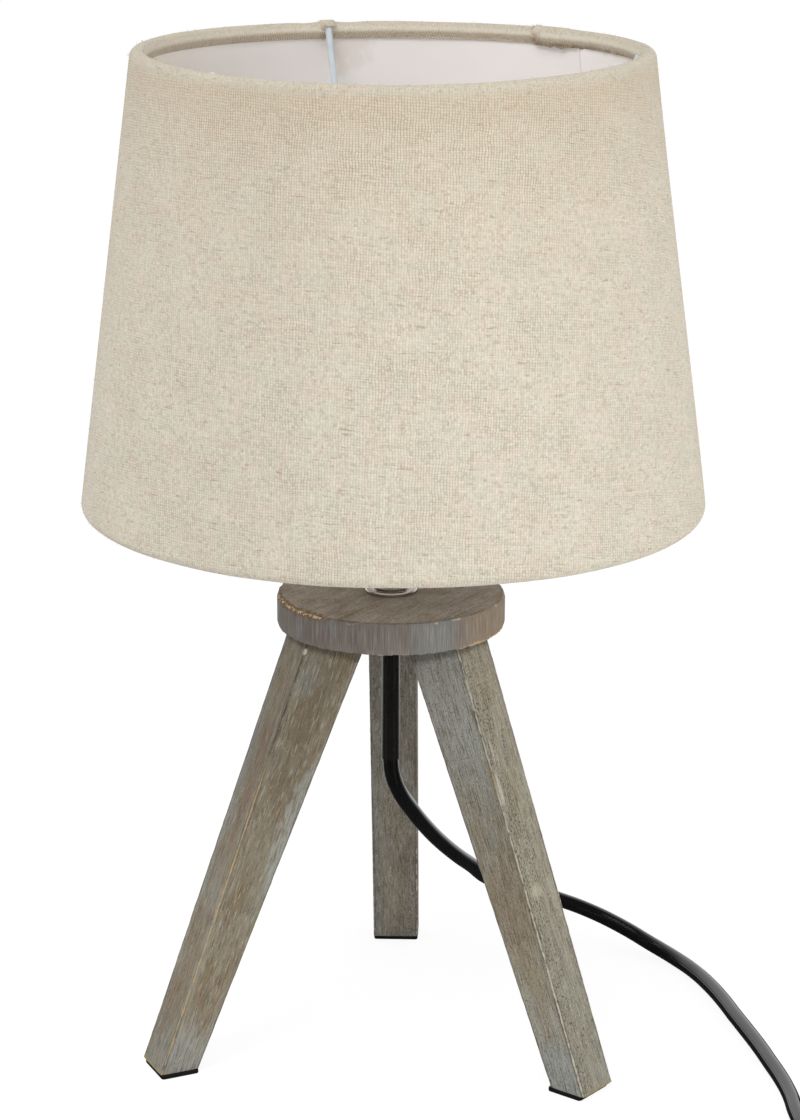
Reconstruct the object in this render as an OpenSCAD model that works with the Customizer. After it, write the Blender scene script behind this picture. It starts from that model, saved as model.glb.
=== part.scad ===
// Tripod table lamp: three tapered wooden legs under a round wooden top plate,
// a small-screw lampholder on a threaded tube, and a tapered fabric shade.
// Origin: on the table under the lamp's axis. +Z up. Millimetres.

/* [Tripod] */
// Height of the plate's underside above the table
leg_h = 134; // [110:1:150]
// Radius of the round top plate
disc_r = 35; // [33:0.5:42]
// Thickness of the top plate
disc_t = 10.4; // [9:0.2:16]
// Chamfer round both edges of the top plate
disc_edge = 0.8; // [0.3:0.1:1.5]
// Distance from the plate's edge in to a leg's outer face
leg_inset = 3.6; // [1.5:0.1:4.5]
// Radius of the outer face of a leg where it meets its pad
leg_reach = 81.2; // [70:0.5:86]
// Width of a leg, all the way down
leg_w = 15.2; // [12:0.1:18]
// Depth of a leg at the plate, measured level
leg_top_depth = 21; // [18:0.5:24]
// Depth of a leg at its foot, measured level
leg_foot_depth = 12.6; // [10:0.2:17]
// Chamfer along the four long edges of a leg
leg_edge = 0.7; // [0.3:0.1:1.5]
// Bearing of the left leg, as it was set by hand
leg_left_az = 205; // [200:1:215]
// Bearing of the right leg
leg_right_az = 321; // [318:1:335]
// Bearing of the back leg
leg_back_az = 88; // [80:1:100]
// Thickness of the pad under each leg
pad_t = 1.3; // [0.8:0.1:3]
// Diameter of the dowel between leg and plate
dowel_d = 6; // [4:0.5:8]
// Depth of the dowel in the plate
dowel_up = 7; // [4:0.5:8]
// Depth of the dowel in the leg
dowel_down = 12; // [8:0.5:18]

/* [Stem] */
// Outer diameter of the threaded tube
tube_d = 10; // [9.6:0.1:10.4]
// Bore of the threaded tube, for the cord
tube_bore = 8.2; // [7.6:0.1:8.6]
// Nut under the plate, across its flats
nut_af = 14; // [13:0.5:17]
// Thickness of that nut
nut_t = 4; // [2.5:0.5:6]
// Diameter of the washer on the plate
washer_d = 16.4; // [14:0.2:24]
// Thickness of the washer
washer_t = 1.6; // [1:0.1:3]
// Diameter of the bright collar above the washer
neck_d = 11.4; // [11.2:0.1:14]
// Height of the collar
neck_h = 8; // [5:0.5:14]

/* [Lampholder] */
// Diameter of the lampholder
holder_d = 28; // [27:0.5:29]
// Height of the lampholder's cap
cap_h = 20; // [18:0.5:24]
// Height of the lampholder's shell
shell_h = 34; // [32:0.5:40]
// Height of the shade seat above the cap
seat_up = 21; // [19:0.5:22]
// Diameter of the flange that the shade sits on
flange_d = 34; // [33:0.5:38]
// Wall of the cap and shell
holder_wall = 1.8; // [1.4:0.1:2]
// Height of the ring that clamps the shade
ring_h = 9; // [6:0.5:9]
// Diameter of the ring that clamps the shade
ring_d = 37; // [35:0.5:40]

/* [Shade] */
// Outer radius of the shade at its top roll
shade_top_r = 77; // [72:0.5:82]
// Outer radius of the shade at its bottom roll
shade_bottom_r = 94; // [90:0.5:104]
// Height of the shade
shade_h = 138; // [125:1:150]
// Height of the shade's top above its fitter
fitter_drop = 114.8; // [105:0.2:118]
// Thickness of the fabric and the backing it is glued to
fabric_t = 1; // [0.6:0.1:1.4]
// Thickness of the white lining
liner_t = 0.4; // [0.3:0.1:0.6]
// Diameter of the fabric rolled round the top and bottom wires
roll_d = 5; // [4.4:0.1:6]
// Diameter of the top and bottom wires
wire_d = 3; // [2:0.1:3.4]
// Diameter of the three struts
strut_d = 2.2; // [1.6:0.1:2.6]
// Bearing of the first strut
strut_az = 106; // [90:1:120]
// How far the fitter ring reaches past the clamp ring
fitter_rim = 1.2; // [1.2:0.1:2.5]
// Thickness of the fitter ring
fitter_t = 2; // [1.2:0.1:2.5]

/* [Bulb] */
// Diameter of the round bulb
bulb_d = 45; // [40:1:46]
// Length of the bulb from its contact
bulb_l = 78; // [74:1:80]
// Diameter of the bulb's screw cap
bulb_cap_d = 13.9; // [13.6:0.1:14]

/* [Cord] */
// Diameter of the mains cord
cord_d = 5; // [4.6:0.1:5.2]
// Diameter of the black sleeve round the cord
sleeve_d = 5.6; // [5.4:0.1:6.4]
// Length of sleeve that hangs below the plate
sleeve_drop = 44; // [30:1:60]
// Radius of the coil's outer turn
coil_r = 39; // [36:0.5:42]
// Turns in the coil, half of them in each layer
coil_turns = 6.5; // [4.5:1:6.5]
// Gap between neighbouring turns
coil_gap = 0.5; // [0.5:0.1:0.8]
// Thickness of the strap that ties the coil
tie_t = 0.6; // [0.5:0.1:1.4]
// Width of that strap
tie_w = 6; // [4:0.5:8]

/* [Switch] */
// Length of the cord switch
switch_l = 62; // [58:1:66]
// Width of the cord switch
switch_w = 25; // [23:0.5:30]
// Height of the cord switch's housing
switch_h = 16; // [15:0.5:20]
// Length of the rocker
rocker_l = 14; // [12:0.5:16]
// Width of the rocker
rocker_w = 8.6; // [7:0.2:10]
// Tilt of the rocker to each side
rocker_tilt = 7; // [4:0.5:8]

/* [Plug] */
// Distance between the two pins
pin_pitch = 18.6; // [18:0.1:19]
// Diameter of a pin
pin_d = 4; // [3.8:0.1:4]
// Length of a pin past the plug's face
pin_l = 19; // [18:0.5:20]
// Width of the plug
plug_w = 35.3; // [33:0.1:37]
// Thickness of the plug
plug_t = 14; // [12:0.1:15]
// Length of the plug's body
plug_l = 36; // [30:1:42]
// Length of the tapered relief behind the plug
relief_l = 20; // [20:1:26]

/* [Hidden] */

round_fn = 96;            // large turned shapes
small_fn = 48;            // small turned shapes
fit = 0.05;               // radial gap between two pieces that are fixed together
seat_gap = 0.2;           // gap under a piece that can turn or lift
turn_gap = 0.3;           // radial gap round a piece that can turn or lift

// Stem and lampholder, from the table up
disc_z = leg_h;
disc_top = disc_z + disc_t;
neck_z = disc_top + washer_t;
cap_z = neck_z + neck_h;
joint_z = cap_z + cap_h;
holder_top = joint_z + shell_h;
seat_z = joint_z + seat_up;
holder_r = holder_d / 2;
bore_r = holder_r - holder_wall;
boss_h = 8;                          // depth of the tube in the cap
tube_end = cap_z + boss_h - 1;
tube_below = 2;                      // tube that stands below its nut
tube_hole_r = tube_d / 2 + fit;
spigot_h = 4;                        // shell that stands inside the cap
flange_t = 2;
insert_r = bore_r - fit - holder_wall / 2 - fit;
insert_up = 9;                       // insert above the joint
insert_down = 6;                     // insert below the joint
insert_top = joint_z + insert_up;
insert_bottom = joint_z - insert_down;
shell_wall = 0.6;                    // brass screw shell
screw_r = bulb_cap_d / 2 + turn_gap;
screw_lift = 1.4;                    // screw shell's height above the insert
post_x = 4;                          // terminal posts, each side of the axis
post_w = 2.6;
post_down = 4;                       // posts below the insert
tongue_t = 0.6;

// Bulb, from its contact up
bulb_z = insert_top + tongue_t + 2;
contact_h = 0.8;
insulator_h = 2.4;
cap_neck_z = 19;                     // where the bulb's metal cap flares
cap_skirt_z = 22;                    // top of the bulb's metal cap
skirt_r = bulb_cap_d / 2 + 0.6;
glass_t = 0.8;
bulb_r = bulb_d / 2;
globe_z = bulb_l - bulb_r;           // globe's centre, from the contact

// Shade
fitter_z = seat_z + seat_gap;
fitter_mid = fitter_z + fitter_t / 2;
shade_top = fitter_z + fitter_drop;
shade_bottom = shade_top - shade_h;
roll_r = roll_d / 2;
top_roll = [shade_top_r - roll_r, shade_top - roll_r];
bottom_roll = [shade_bottom_r - roll_r, shade_bottom + roll_r];
fitter_r = ring_d / 2 + fitter_rim;
strut_foot = [fitter_r, fitter_mid];
strut_head = [top_roll[0] - (wire_d + strut_d) / 2, top_roll[1]];   // against the top wire's inner side
strut_over = 2;                      // how far a strut runs on past the top wire's middle
notch_gap = 0.4;                     // fabric cut away round a strut
fitter_bore = holder_r + turn_gap + 0.2;
ring_z = fitter_z + fitter_t + seat_gap;

// Legs
leg_top_r = disc_r - leg_inset;
leg_azimuths = [leg_left_az, leg_right_az, leg_back_az];
pad_shift = [[0, 0.9], [-0.9, -0.6], [0, 0]];   // how far each pad was stuck off centre
pad_inset = 0.4;
dowel_r_at = leg_top_r - leg_top_depth / 2;

// Cord: the free stretches, as they lie. Round numbers, chosen by hand.
cord_r = cord_d / 2;
cord_sides = 10;
sleeve_end = disc_z - sleeve_drop;
riser_end = sleeve_end + 4;          // inside the sleeve, where the free stretch takes over
riser_top = tube_end - 9;
lead_d = 2;
lead_x = 1.3;
to_switch = [[0, 0, 94], [0, 0, 90], [0.4, 0.5, 85.5], [2.4, 3.2, 78.5], [6.6, 9, 69.8], [11.5, 16, 61],
    [16.5, 23.5, 53], [22, 31, 45.5], [27, 39.5, 38.7], [32, 48, 31.5], [39.5, 56, 25.5], [48, 62, 20.5],
    [58, 65.5, 16], [68.5, 65, 12], [79, 61, 8], [88, 55, 4.5], [95.5, 46.5, 2.8], [101, 36, 2.5],
    [105, 24.5, 2.5], [108, 13, 2.5], [110.5, 1, 2.5], [113, -10.5, 2.5], [115.5, -22.5, 2.5],
    [117.5, -34, 2.5], [119.5, -46, 2.5], [120.7, -58, 2.5], [121, -70, 2.5], [122.5, -82, 2.5],
    [128, -93, 2.5], [137, -101, 2.5], [148.5, -103.5, 2.5], [160, -99.5, 3], [168, -91, 4],
    [171.5, -80, 5.5], [172, -71, 7], [172, -61, 7]];
to_coil = [[172, -9, 7], [172, -2, 7], [172, 8, 6], [172, 16, 4.4], [172, 22, 3.2], [172, 27, 3.2]];
to_plug = [[250, 27, 8.7], [250, 22, 8.7], [250, 15, 8.2], [249.5, 6, 7.2], [248, -6, 6], [245, -17, 5.4],
    [241, -27, 5.4], [237.5, -37, 6.2], [236, -47, 7], [236, -58, 7]];

// Cord switch, lying along Y
switch_at = [172, -35, 0];
switch_axis_z = 7;
switch_wall = 1.8;
switch_end = 3;                      // end wall that the cord passes through
switch_corner = 6;
rocker_z = switch_h - 3;             // pivot of the rocker
rocker_pin_r = 1.2;
rocker_up = 5;                       // rocker's ends above its pivot
rocker_gap = 0.9;                    // round the rocker in its window
rocker_dish = 1.4;                   // hollow across the middle of the rocker
cheek_t = 1.4;                       // ears inside the lid that carry the rocker's pins
cheek_l = 5;
switch_screw_x = 17;
bolt_r = 1;
bolt_head_r = 1.25;
boss_r = 2.3;

// Coil, tie and plug
coil_at = [211, 32];
layer_step = cord_d + coil_gap;
coil_z = tie_t + 0.1 + cord_r;      // it lies on its strap
coil_in = coil_r - layer_step * coil_turns / 2;
coil_rings = 24;                     // rings in each turn
coil_steps = coil_rings * coil_turns;
tie_gap = 0.5;
tie_az = 60;
plug_at = [236, -106, plug_t / 2];
plug_back_w = 15;
plug_back_t = 11;
plug_face_l = 9;                     // straight part behind the plug's face
plug_round = 3;
pin_root = 12;                       // pin inside the plug
pin_core_r = 1.25;                   // pin under its sleeve
pin_sleeve_l = 9;
pin_sleeve_t = 0.35;
pin_tip = 0.8;                       // bevelled end of a pin

// Colours, as the lamp has them
wood = "#8a8276";
wood_disc = "#857a6e";
pad_black = "#1c1c1c";
nickel = "#c9c6c0";
steel = "#b8b8b4";
black = "#202020";
brass = "#b8963e";
ceramic = "#ece8de";
linen = "#d3c6ad";
white = "#e8e2da";
wire_white = "#cfd6d8";
opal = "#f4f2ea";
lead_brown_colour = "#6b4226";
lead_blue_colour = "#2f5fa8";

// ---------- helpers ----------
function unit(v) = v / norm(v);
function lerp(a, b, t) = a + (b - a) * t;
function wall_r(z) = lerp(shade_bottom_r, shade_top_r, (z - bottom_roll[1]) / (top_roll[1] - bottom_roll[1]));

// Directions along a path, and a side vector carried along it without twist
function along(p) = [for (i = [0:len(p) - 1]) unit(p[min(i + 1, len(p) - 1)] - p[max(i - 1, 0)])];
function carried(t, i, s) = i == len(t) ? []
    : let (u = unit(s - (s * t[i]) * t[i])) concat([u], carried(t, i + 1, u));
function rings(p, t, s, r, n) = [for (i = [0:len(p) - 1]) for (k = [0:n - 1])
    p[i] + r * (cos(360 * k / n) * s[i] + sin(360 * k / n) * cross(t[i], s[i]))];
function skin(m, n) = concat(
    [for (i = [0:m - 2]) for (k = [0:n - 1]) each
        let (a = i * n + k, b = i * n + (k + 1) % n) [[a, a + n, b], [b, a + n, b + n]]],
    [for (k = [1:n - 2]) [0, k, k + 1]],
    [for (k = [1:n - 2]) [(m - 1) * n, (m - 1) * n + k + 1, (m - 1) * n + k]]);

module tube_along(p, r, n, side) {
    t = along(p);
    polyhedron(points = rings(p, t, carried(t, 0, side), r, n), faces = skin(len(p), n));
}

module ring_solid(outer, bore, h, fn = small_fn) {
    difference() {
        cylinder(r = outer, h = h, $fn = fn);
        translate([0, 0, -1]) cylinder(r = bore, h = h + 2, $fn = fn);
    }
}

module slab(l, w, r, h) {
    linear_extrude(height = h) union() {
        square([l - 2 * r, w], center = true);
        square([l, w - 2 * r], center = true);
        for (x = [-1, 1], y = [-1, 1])
            translate([x * (l / 2 - r), y * (w / 2 - r)]) circle(r = r, $fn = small_fn);
    }
}

// ---------- tripod ----------
module disc_profile() {
    polygon([[0, 0], [disc_r - disc_edge, 0], [disc_r, disc_edge], [disc_r, disc_t - disc_edge],
        [disc_r - disc_edge, disc_t], [0, disc_t]]);
}

module dowel_holes(gap) {
    for (az = leg_azimuths)
        rotate([0, 0, az]) translate([dowel_r_at, 0, disc_z - dowel_down])
            cylinder(d = dowel_d + 2 * gap, h = dowel_down + dowel_up, $fn = small_fn);
}

module base_disc() color(wood_disc) difference() {
    translate([0, 0, disc_z]) rotate_extrude($fn = round_fn) disc_profile();
    translate([0, 0, disc_z - 1]) cylinder(r = tube_hole_r, h = disc_t + 2, $fn = small_fn);
    dowel_holes(fit);
}

function leg_side() = [[leg_top_r, disc_z], [leg_reach, pad_t],
    [leg_reach - leg_foot_depth, pad_t], [leg_top_r - leg_top_depth, disc_z]];

module edge_cut(a, b, side) {
    d = [b[0] - a[0], 0, b[1] - a[1]];
    translate([a[0], side * leg_w / 2, a[1]]) rotate([0, atan2(d[0], d[2]), 0])
        translate([0, 0, norm(d) / 2]) rotate([0, 0, 45])
            cube([leg_edge * sqrt(2), leg_edge * sqrt(2), norm(d) + 20], center = true);
}

module leg(az) color(wood) difference() {
    rotate([0, 0, az]) difference() {
        rotate([90, 0, 0]) linear_extrude(height = leg_w, center = true) polygon(leg_side());
        for (side = [-1, 1]) {
            edge_cut(leg_side()[0], leg_side()[1], side);
            edge_cut(leg_side()[3], leg_side()[2], side);
        }
    }
    dowel_holes(fit);
}

module leg_left() leg(leg_left_az);
module leg_right() leg(leg_right_az);
module leg_back() leg(leg_back_az);

module leg_dowels() color(wood) intersection() {
    dowel_holes(0);
    translate([0, 0, disc_z - dowel_down + 0.2])
        cylinder(r = disc_r, h = dowel_down + dowel_up - 0.4, $fn = small_fn);
}

module foot_pad(az, shift) color(pad_black)
    rotate([0, 0, az]) translate([leg_reach - leg_foot_depth / 2 + shift[0], shift[1], 0])
        slab(leg_foot_depth - pad_inset, leg_w - pad_inset, 1, pad_t);

module foot_pad_left() foot_pad(leg_left_az, pad_shift[0]);
module foot_pad_right() foot_pad(leg_right_az, pad_shift[1]);
module foot_pad_back() foot_pad(leg_back_az, pad_shift[2]);

// ---------- stem ----------
module threaded_tube() color(steel)
    translate([0, 0, disc_z - nut_t - tube_below])
        ring_solid(tube_d / 2, tube_bore / 2, tube_end - disc_z + nut_t + tube_below);

module tube_nut() color(steel) translate([0, 0, disc_z - nut_t]) difference() {
    cylinder(d = nut_af / cos(30), h = nut_t, $fn = 6);
    translate([0, 0, -1]) cylinder(r = tube_hole_r, h = nut_t + 2, $fn = small_fn);
}

module collar_washer() color(nickel) translate([0, 0, disc_top])
    rotate_extrude($fn = round_fn) polygon([[tube_hole_r, 0], [washer_d / 2, 0],
        [washer_d / 2, washer_t * 0.6], [washer_d / 2 - washer_t * 0.4, washer_t], [tube_hole_r, washer_t]]);

neck_groove = min(0.35, (neck_d - tube_d) / 2 - 0.3);
module neck_collar() color(nickel) translate([0, 0, neck_z])
    rotate_extrude($fn = round_fn) polygon([[tube_hole_r, 0], [neck_d / 2, 0],
        [neck_d / 2, neck_h * 0.42], [neck_d / 2 - neck_groove, neck_h / 2],
        [neck_d / 2, neck_h * 0.58], [neck_d / 2, neck_h], [tube_hole_r, neck_h]]);

// ---------- lampholder ----------
cap_foot_r = tube_d / 2 + 2.6;
cap_shoulder = 8;
module holder_cap() color(black) difference() {
    translate([0, 0, cap_z]) rotate_extrude($fn = round_fn) difference() {
        polygon([[0, 0], [cap_foot_r, 0], [cap_foot_r, 1.5], [holder_r - 1.5, cap_shoulder - 1],
            [holder_r, cap_shoulder + 1], [holder_r, cap_h], [0, cap_h]]);
        translate([0, boss_h + 1]) square([bore_r, cap_h]);
    }
    translate([0, 0, cap_z - 1]) cylinder(r = tube_hole_r, h = boss_h + 3, $fn = small_fn);
    lock_screw_shape(fit, holder_r);
}

lock_z = cap_z + 3.5;
lock_l = 3.5;
lock_r = 1.5;
module lock_screw_shape(gap, reach)
    translate([0, 0, lock_z]) rotate([0, -90, 0]) translate([0, 0, tube_d / 2 + fit])
        cylinder(r = lock_r + gap, h = reach, $fn = small_fn);
module holder_lock_screw() color(steel) lock_screw_shape(0, lock_l);

module holder_shell() color(black) rotate_extrude($fn = round_fn) polygon([
    [insert_r + fit, joint_z - spigot_h], [bore_r - fit, joint_z - spigot_h], [bore_r - fit, joint_z],
    [holder_r, joint_z], [holder_r, seat_z - flange_t], [flange_d / 2, seat_z - flange_t],
    [flange_d / 2, seat_z], [holder_r, seat_z], [holder_r, holder_top],
    [shell_bore, holder_top], [shell_bore, insert_top + fit], [insert_r + fit, insert_top + fit]]);
shell_bore = screw_r + shell_wall + 2 * fit;

module posts(gap) for (x = [-1, 1])
    translate([x * post_x - post_w / 2 - gap, -post_w / 2 - gap, insert_bottom - post_down])
        cube([post_w + 2 * gap, post_w + 2 * gap, insert_top - insert_bottom + post_down + gap]);

module holder_insert() color(ceramic) difference() {
    translate([0, 0, insert_bottom]) cylinder(r = insert_r, h = insert_top - insert_bottom, $fn = round_fn);
    posts(fit);
}

module screw_shell() color(brass) translate([0, 0, insert_top + screw_lift])
    ring_solid(screw_r + shell_wall, screw_r, bulb_z + cap_neck_z - 1 - insert_top - screw_lift);

terminal_z = insert_bottom - post_down / 2;
terminal_r = 1;
module post(x) difference() {
    intersection() {
        posts(0);
        translate([x * post_x, 0, joint_z]) cube([post_w + 1, post_w + 1, 80], center = true);
    }
    translate([x * post_x, 0, terminal_z]) rotate([90, 0, 0])
        cylinder(r = terminal_r + fit, h = 2 * post_w, center = true, $fn = small_fn);
}

module contact_centre() color(brass) union() {
    post(1);
    translate([-2, -post_w / 2, insert_top]) cube([post_x + post_w / 2 + 2, post_w, tongue_t]);
    translate([0, 0, insert_top + tongue_t]) cylinder(r = 1.1, h = 1.8, $fn = small_fn);
}

module contact_side() color(brass) union() {
    post(-1);
    translate([-screw_r - shell_wall / 2, -post_w / 2, insert_top])
        cube([screw_r + shell_wall / 2 - post_x + post_w / 2, post_w, screw_lift]);
}

module terminal_screws() color(steel) for (x = [-1, 1])
    translate([x * post_x, 0, terminal_z]) rotate([90, 0, 0]) union() {
        translate([0, 0, -post_w / 2]) cylinder(r = terminal_r, h = post_w + 1.5, $fn = small_fn);
        translate([0, 0, post_w / 2 + fit]) cylinder(r = terminal_r + 0.7, h = 1.4, $fn = small_fn);
    }

module lead(side) tube_along([[side * lead_x, 0, riser_top + fit], [side * lead_x, 0, riser_top + 4],
    [side * 2.2, 0, tube_end - 1], [side * post_x, 0, insert_bottom - post_down - 1.5],
    [side * post_x, 0, insert_bottom - post_down]], lead_d / 2, 8, [0, 1, 0]);
module lead_brown() color(lead_brown_colour) lead(1);
module lead_blue() color(lead_blue_colour) lead(-1);

module cord_riser() color(black) translate([0, 0, riser_end])
    cylinder(d = cord_d, h = riser_top - riser_end, $fn = small_fn);

module cord_sleeve() color(black) translate([0, 0, sleeve_end])
    ring_solid(sleeve_d / 2, cord_r + fit, sleeve_drop + 6);

knurls = 30;
module shade_ring() color(black) translate([0, 0, ring_z]) difference() {
    cylinder(d = ring_d, h = ring_h, $fn = round_fn);
    translate([0, 0, -1]) cylinder(r = holder_r + 0.1, h = ring_h + 2, $fn = round_fn);
    for (k = [0:knurls - 1]) rotate([0, 0, 360 * k / knurls])
        translate([ring_d / 2 + 0.4, 0, 1.5]) cylinder(r = 0.9, h = ring_h, $fn = 16);
}

// ---------- shade ----------
module strut_line(d, over) {
    run = strut_head - strut_foot;
    translate([strut_foot[0], 0, strut_foot[1]]) rotate([0, atan2(run[0], run[1]), 0])
        translate([0, 0, -strut_d]) cylinder(d = d, h = strut_d + norm(run) + over, $fn = small_fn);
}

module three() for (k = [0:2]) rotate([0, 0, strut_az + 120 * k]) children();

module shade_fabric() color(linen) difference() {
    rotate_extrude($fn = round_fn) difference() {
        union() {
            polygon([[shade_bottom_r, bottom_roll[1]], [shade_top_r, top_roll[1]],
                [shade_top_r - fabric_t, top_roll[1]], [shade_bottom_r - fabric_t, bottom_roll[1]]]);
            translate(top_roll) circle(r = roll_r, $fn = 32);
            translate(bottom_roll) circle(r = roll_r, $fn = 32);
        }
        translate(top_roll) circle(r = wire_d / 2 + fit, $fn = 32);
        translate(bottom_roll) circle(r = wire_d / 2 + fit, $fn = 32);
    }
    three() strut_line(strut_d + notch_gap, strut_over + roll_d);
}

module shade_liner() color(white) rotate_extrude($fn = round_fn) polygon([
    for (p = [[0, 1], [1, 1], [1, 0], [0, 0]])
        let (z = p[1] == 1 ? shade_top - roll_d : shade_bottom + roll_d)
            [wall_r(z) - fabric_t - fit - p[0] * liner_t, z]]);

module shade_wire(c) color(wire_white) rotate_extrude($fn = round_fn)
    translate(c) circle(r = wire_d / 2, $fn = 32);
module shade_top_wire() shade_wire(top_roll);
module shade_bottom_wire() shade_wire(bottom_roll);

module shade_struts() color(wire_white) difference() {
    three() strut_line(strut_d, strut_over);
    translate([0, 0, fitter_z - 10]) cylinder(r = fitter_r + fit, h = 20, $fn = round_fn);
    rotate_extrude($fn = round_fn) translate(top_roll) circle(r = wire_d / 2 + fit, $fn = 32);
}

module shade_fitter() color(wire_white) translate([0, 0, fitter_z])
    ring_solid(fitter_r, fitter_bore, fitter_t, round_fn);

// ---------- bulb ----------
glass_from = cap_skirt_z - 4;
neck_r = skirt_r - 0.9;              // glass inside the metal cap
function globe_arc(r) = [for (k = [0:24]) let (a = lerp(-50, 90, k / 24)) [r * cos(a), globe_z + r * sin(a)]];
module bulb_globe() color(opal) translate([0, 0, bulb_z]) rotate_extrude($fn = round_fn) difference() {
    polygon(concat([[0, glass_from], [neck_r, glass_from], [neck_r, cap_skirt_z + 1]], globe_arc(bulb_r)));
    polygon(concat([[0, glass_from - 1], [neck_r - glass_t, glass_from - 1],
        [neck_r - glass_t, cap_skirt_z + 1]], globe_arc(bulb_r - glass_t)));
}

module bulb_cap() color(nickel) translate([0, 0, bulb_z]) rotate_extrude($fn = round_fn) polygon([
    [bulb_cap_d / 2 - 1.6, contact_h + insulator_h], [bulb_cap_d / 2, contact_h + insulator_h + 2],
    [bulb_cap_d / 2, cap_neck_z], [skirt_r, cap_neck_z + 1.5], [skirt_r, cap_skirt_z],
    [skirt_r - 0.8, cap_skirt_z], [skirt_r - 0.8, glass_from - 1.2],
    [bulb_cap_d / 2 - 2.2, glass_from - 3], [bulb_cap_d / 2 - 2.2, contact_h + insulator_h + 2],
    [bulb_cap_d / 2 - 3, contact_h + insulator_h]]);

module bulb_insulator() color(black) translate([0, 0, bulb_z + contact_h])
    cylinder(r1 = 3, r2 = bulb_cap_d / 2 - 1.7, h = insulator_h, $fn = small_fn);
module bulb_contact() color(steel) translate([0, 0, bulb_z])
    cylinder(r = 2.2, h = contact_h, $fn = small_fn);

// ---------- free cord ----------
module cord_to_switch() color(black) tube_along(to_switch, cord_r, cord_sides, [1, 0, 0]);
module cord_to_coil() color(black) tube_along(to_coil, cord_r, cord_sides, [1, 0, 0]);
module cord_to_plug() color(black) tube_along(to_plug, cord_r, cord_sides, [1, 0, 0]);

// The coil winds in on the table, climbs a layer in the half turn where it
// turns back, and winds out again on top.
function climb(t) = let (u = min(1, max(0, (t - coil_turns / 2 + 0.25) * 2))) u * u * (3 - 2 * u);
function coil_point(t) = let (a = 180 - 360 * t, r = coil_in + layer_step * abs(coil_turns / 2 - t))
    [coil_at[0] + r * cos(a), coil_at[1] + r * sin(a), coil_z + layer_step * climb(t)];
coil_wound = [for (i = [0:coil_steps]) coil_point(i / coil_rings)];
coil_line = concat([coil_wound[0] - [0, cord_d, 0]], coil_wound, [coil_wound[coil_steps] - [0, cord_d, 0]]);
coil_gap_found = min([for (i = [0:coil_steps]) for (j = [i + coil_rings / 2:coil_steps])
    norm(coil_wound[i] - coil_wound[j])]) - cord_d;
echo(coil_least_gap = coil_gap_found);

module cord_coil() color(black) {
    t = along(coil_line);
    level = [for (d = t) unit([d[1], -d[0], 0])];
    polyhedron(points = rings(coil_line, t, level, cord_r, 6), faces = skin(len(coil_line), 6));
}

tie_inner = coil_in - cord_r - tie_gap;
tie_outer = coil_r + cord_r + tie_gap;
tie_top = coil_z + layer_step + cord_r + tie_gap;
module coil_tie() color(black) translate([coil_at[0], coil_at[1], 0]) rotate([0, 0, tie_az]) difference() {
    translate([tie_inner - tie_t, -tie_w / 2, 0])
        cube([tie_outer - tie_inner + 2 * tie_t, tie_w, tie_top + tie_t]);
    translate([tie_inner, -tie_w, tie_t]) cube([tie_outer - tie_inner, 2 * tie_w, tie_top - tie_t]);
}

// ---------- cord switch: built along X, then laid along Y ----------
module lay_switch() translate(switch_at) rotate([0, 0, 90]) children();

module switch_hollow(z0, z1) translate([0, 0, z0])
    slab(switch_l - 2 * switch_end, switch_w - 2 * switch_wall, switch_corner - switch_wall, z1 - z0);

module switch_cord_holes() translate([0, 0, switch_axis_z]) rotate([0, 90, 0])
    cylinder(r = cord_r + 0.15, h = switch_l + 4, center = true, $fn = small_fn);

module switch_bolts(r, z0, z1) for (x = [-1, 1])
    translate([x * switch_screw_x, switch_w / 2 - 4.2, z0]) cylinder(r = r, h = z1 - z0, $fn = small_fn);

module switch_lower() color(black) lay_switch() difference() {
    union() {
        difference() {
            slab(switch_l, switch_w, switch_corner, switch_axis_z);
            switch_hollow(switch_wall, switch_axis_z + 1);
            switch_cord_holes();
        }
        switch_bolts(boss_r, switch_wall / 2, switch_axis_z);
    }
    switch_bolts(bolt_head_r + fit, -1, switch_h);
}

window_l = rocker_l + 2 * rocker_gap;
window_w = rocker_w + 2 * turn_gap;
module switch_upper() color(black) lay_switch() difference() {
    union() {
        difference() {
            translate([0, 0, switch_axis_z])
                slab(switch_l, switch_w, switch_corner, switch_h - switch_axis_z);
            switch_hollow(switch_axis_z - 1, switch_h - switch_wall);
            switch_cord_holes();
        }
        switch_bolts(boss_r, switch_axis_z, switch_h - switch_wall / 2);
        for (turn = [0, 1]) mirror([0, turn, 0])
            translate([-cheek_l / 2, window_w / 2, rocker_z - cheek_l / 2])
                cube([cheek_l, cheek_t, switch_h - rocker_z + cheek_l / 2 - 1]);
    }
    translate([-window_l / 2, -window_w / 2, switch_axis_z]) cube([window_l, window_w, switch_h]);
    translate([0, 0, rocker_z]) rotate([90, 0, 0])
        cylinder(r = rocker_pin_r + 0.08, h = window_w + 2 * cheek_t + 2, center = true, $fn = small_fn);
    switch_bolts(bolt_r + fit, switch_axis_z - 1, switch_h - switch_wall);
}

module switch_rocker() color(black) lay_switch() translate([0, 0, rocker_z])
    rotate([0, rocker_tilt, 0]) rotate([90, 0, 0]) union() {
        linear_extrude(height = rocker_w, center = true) polygon([
            [-rocker_l / 2, -0.5], [-rocker_l / 2 + 0.4, rocker_up], [0, rocker_up - rocker_dish],
            [rocker_l / 2 - 0.4, rocker_up], [rocker_l / 2, -0.5], [0, -2.6]]);
        cylinder(r = rocker_pin_r, h = window_w + 2 * cheek_t - 0.4, center = true, $fn = small_fn);
    }

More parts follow.
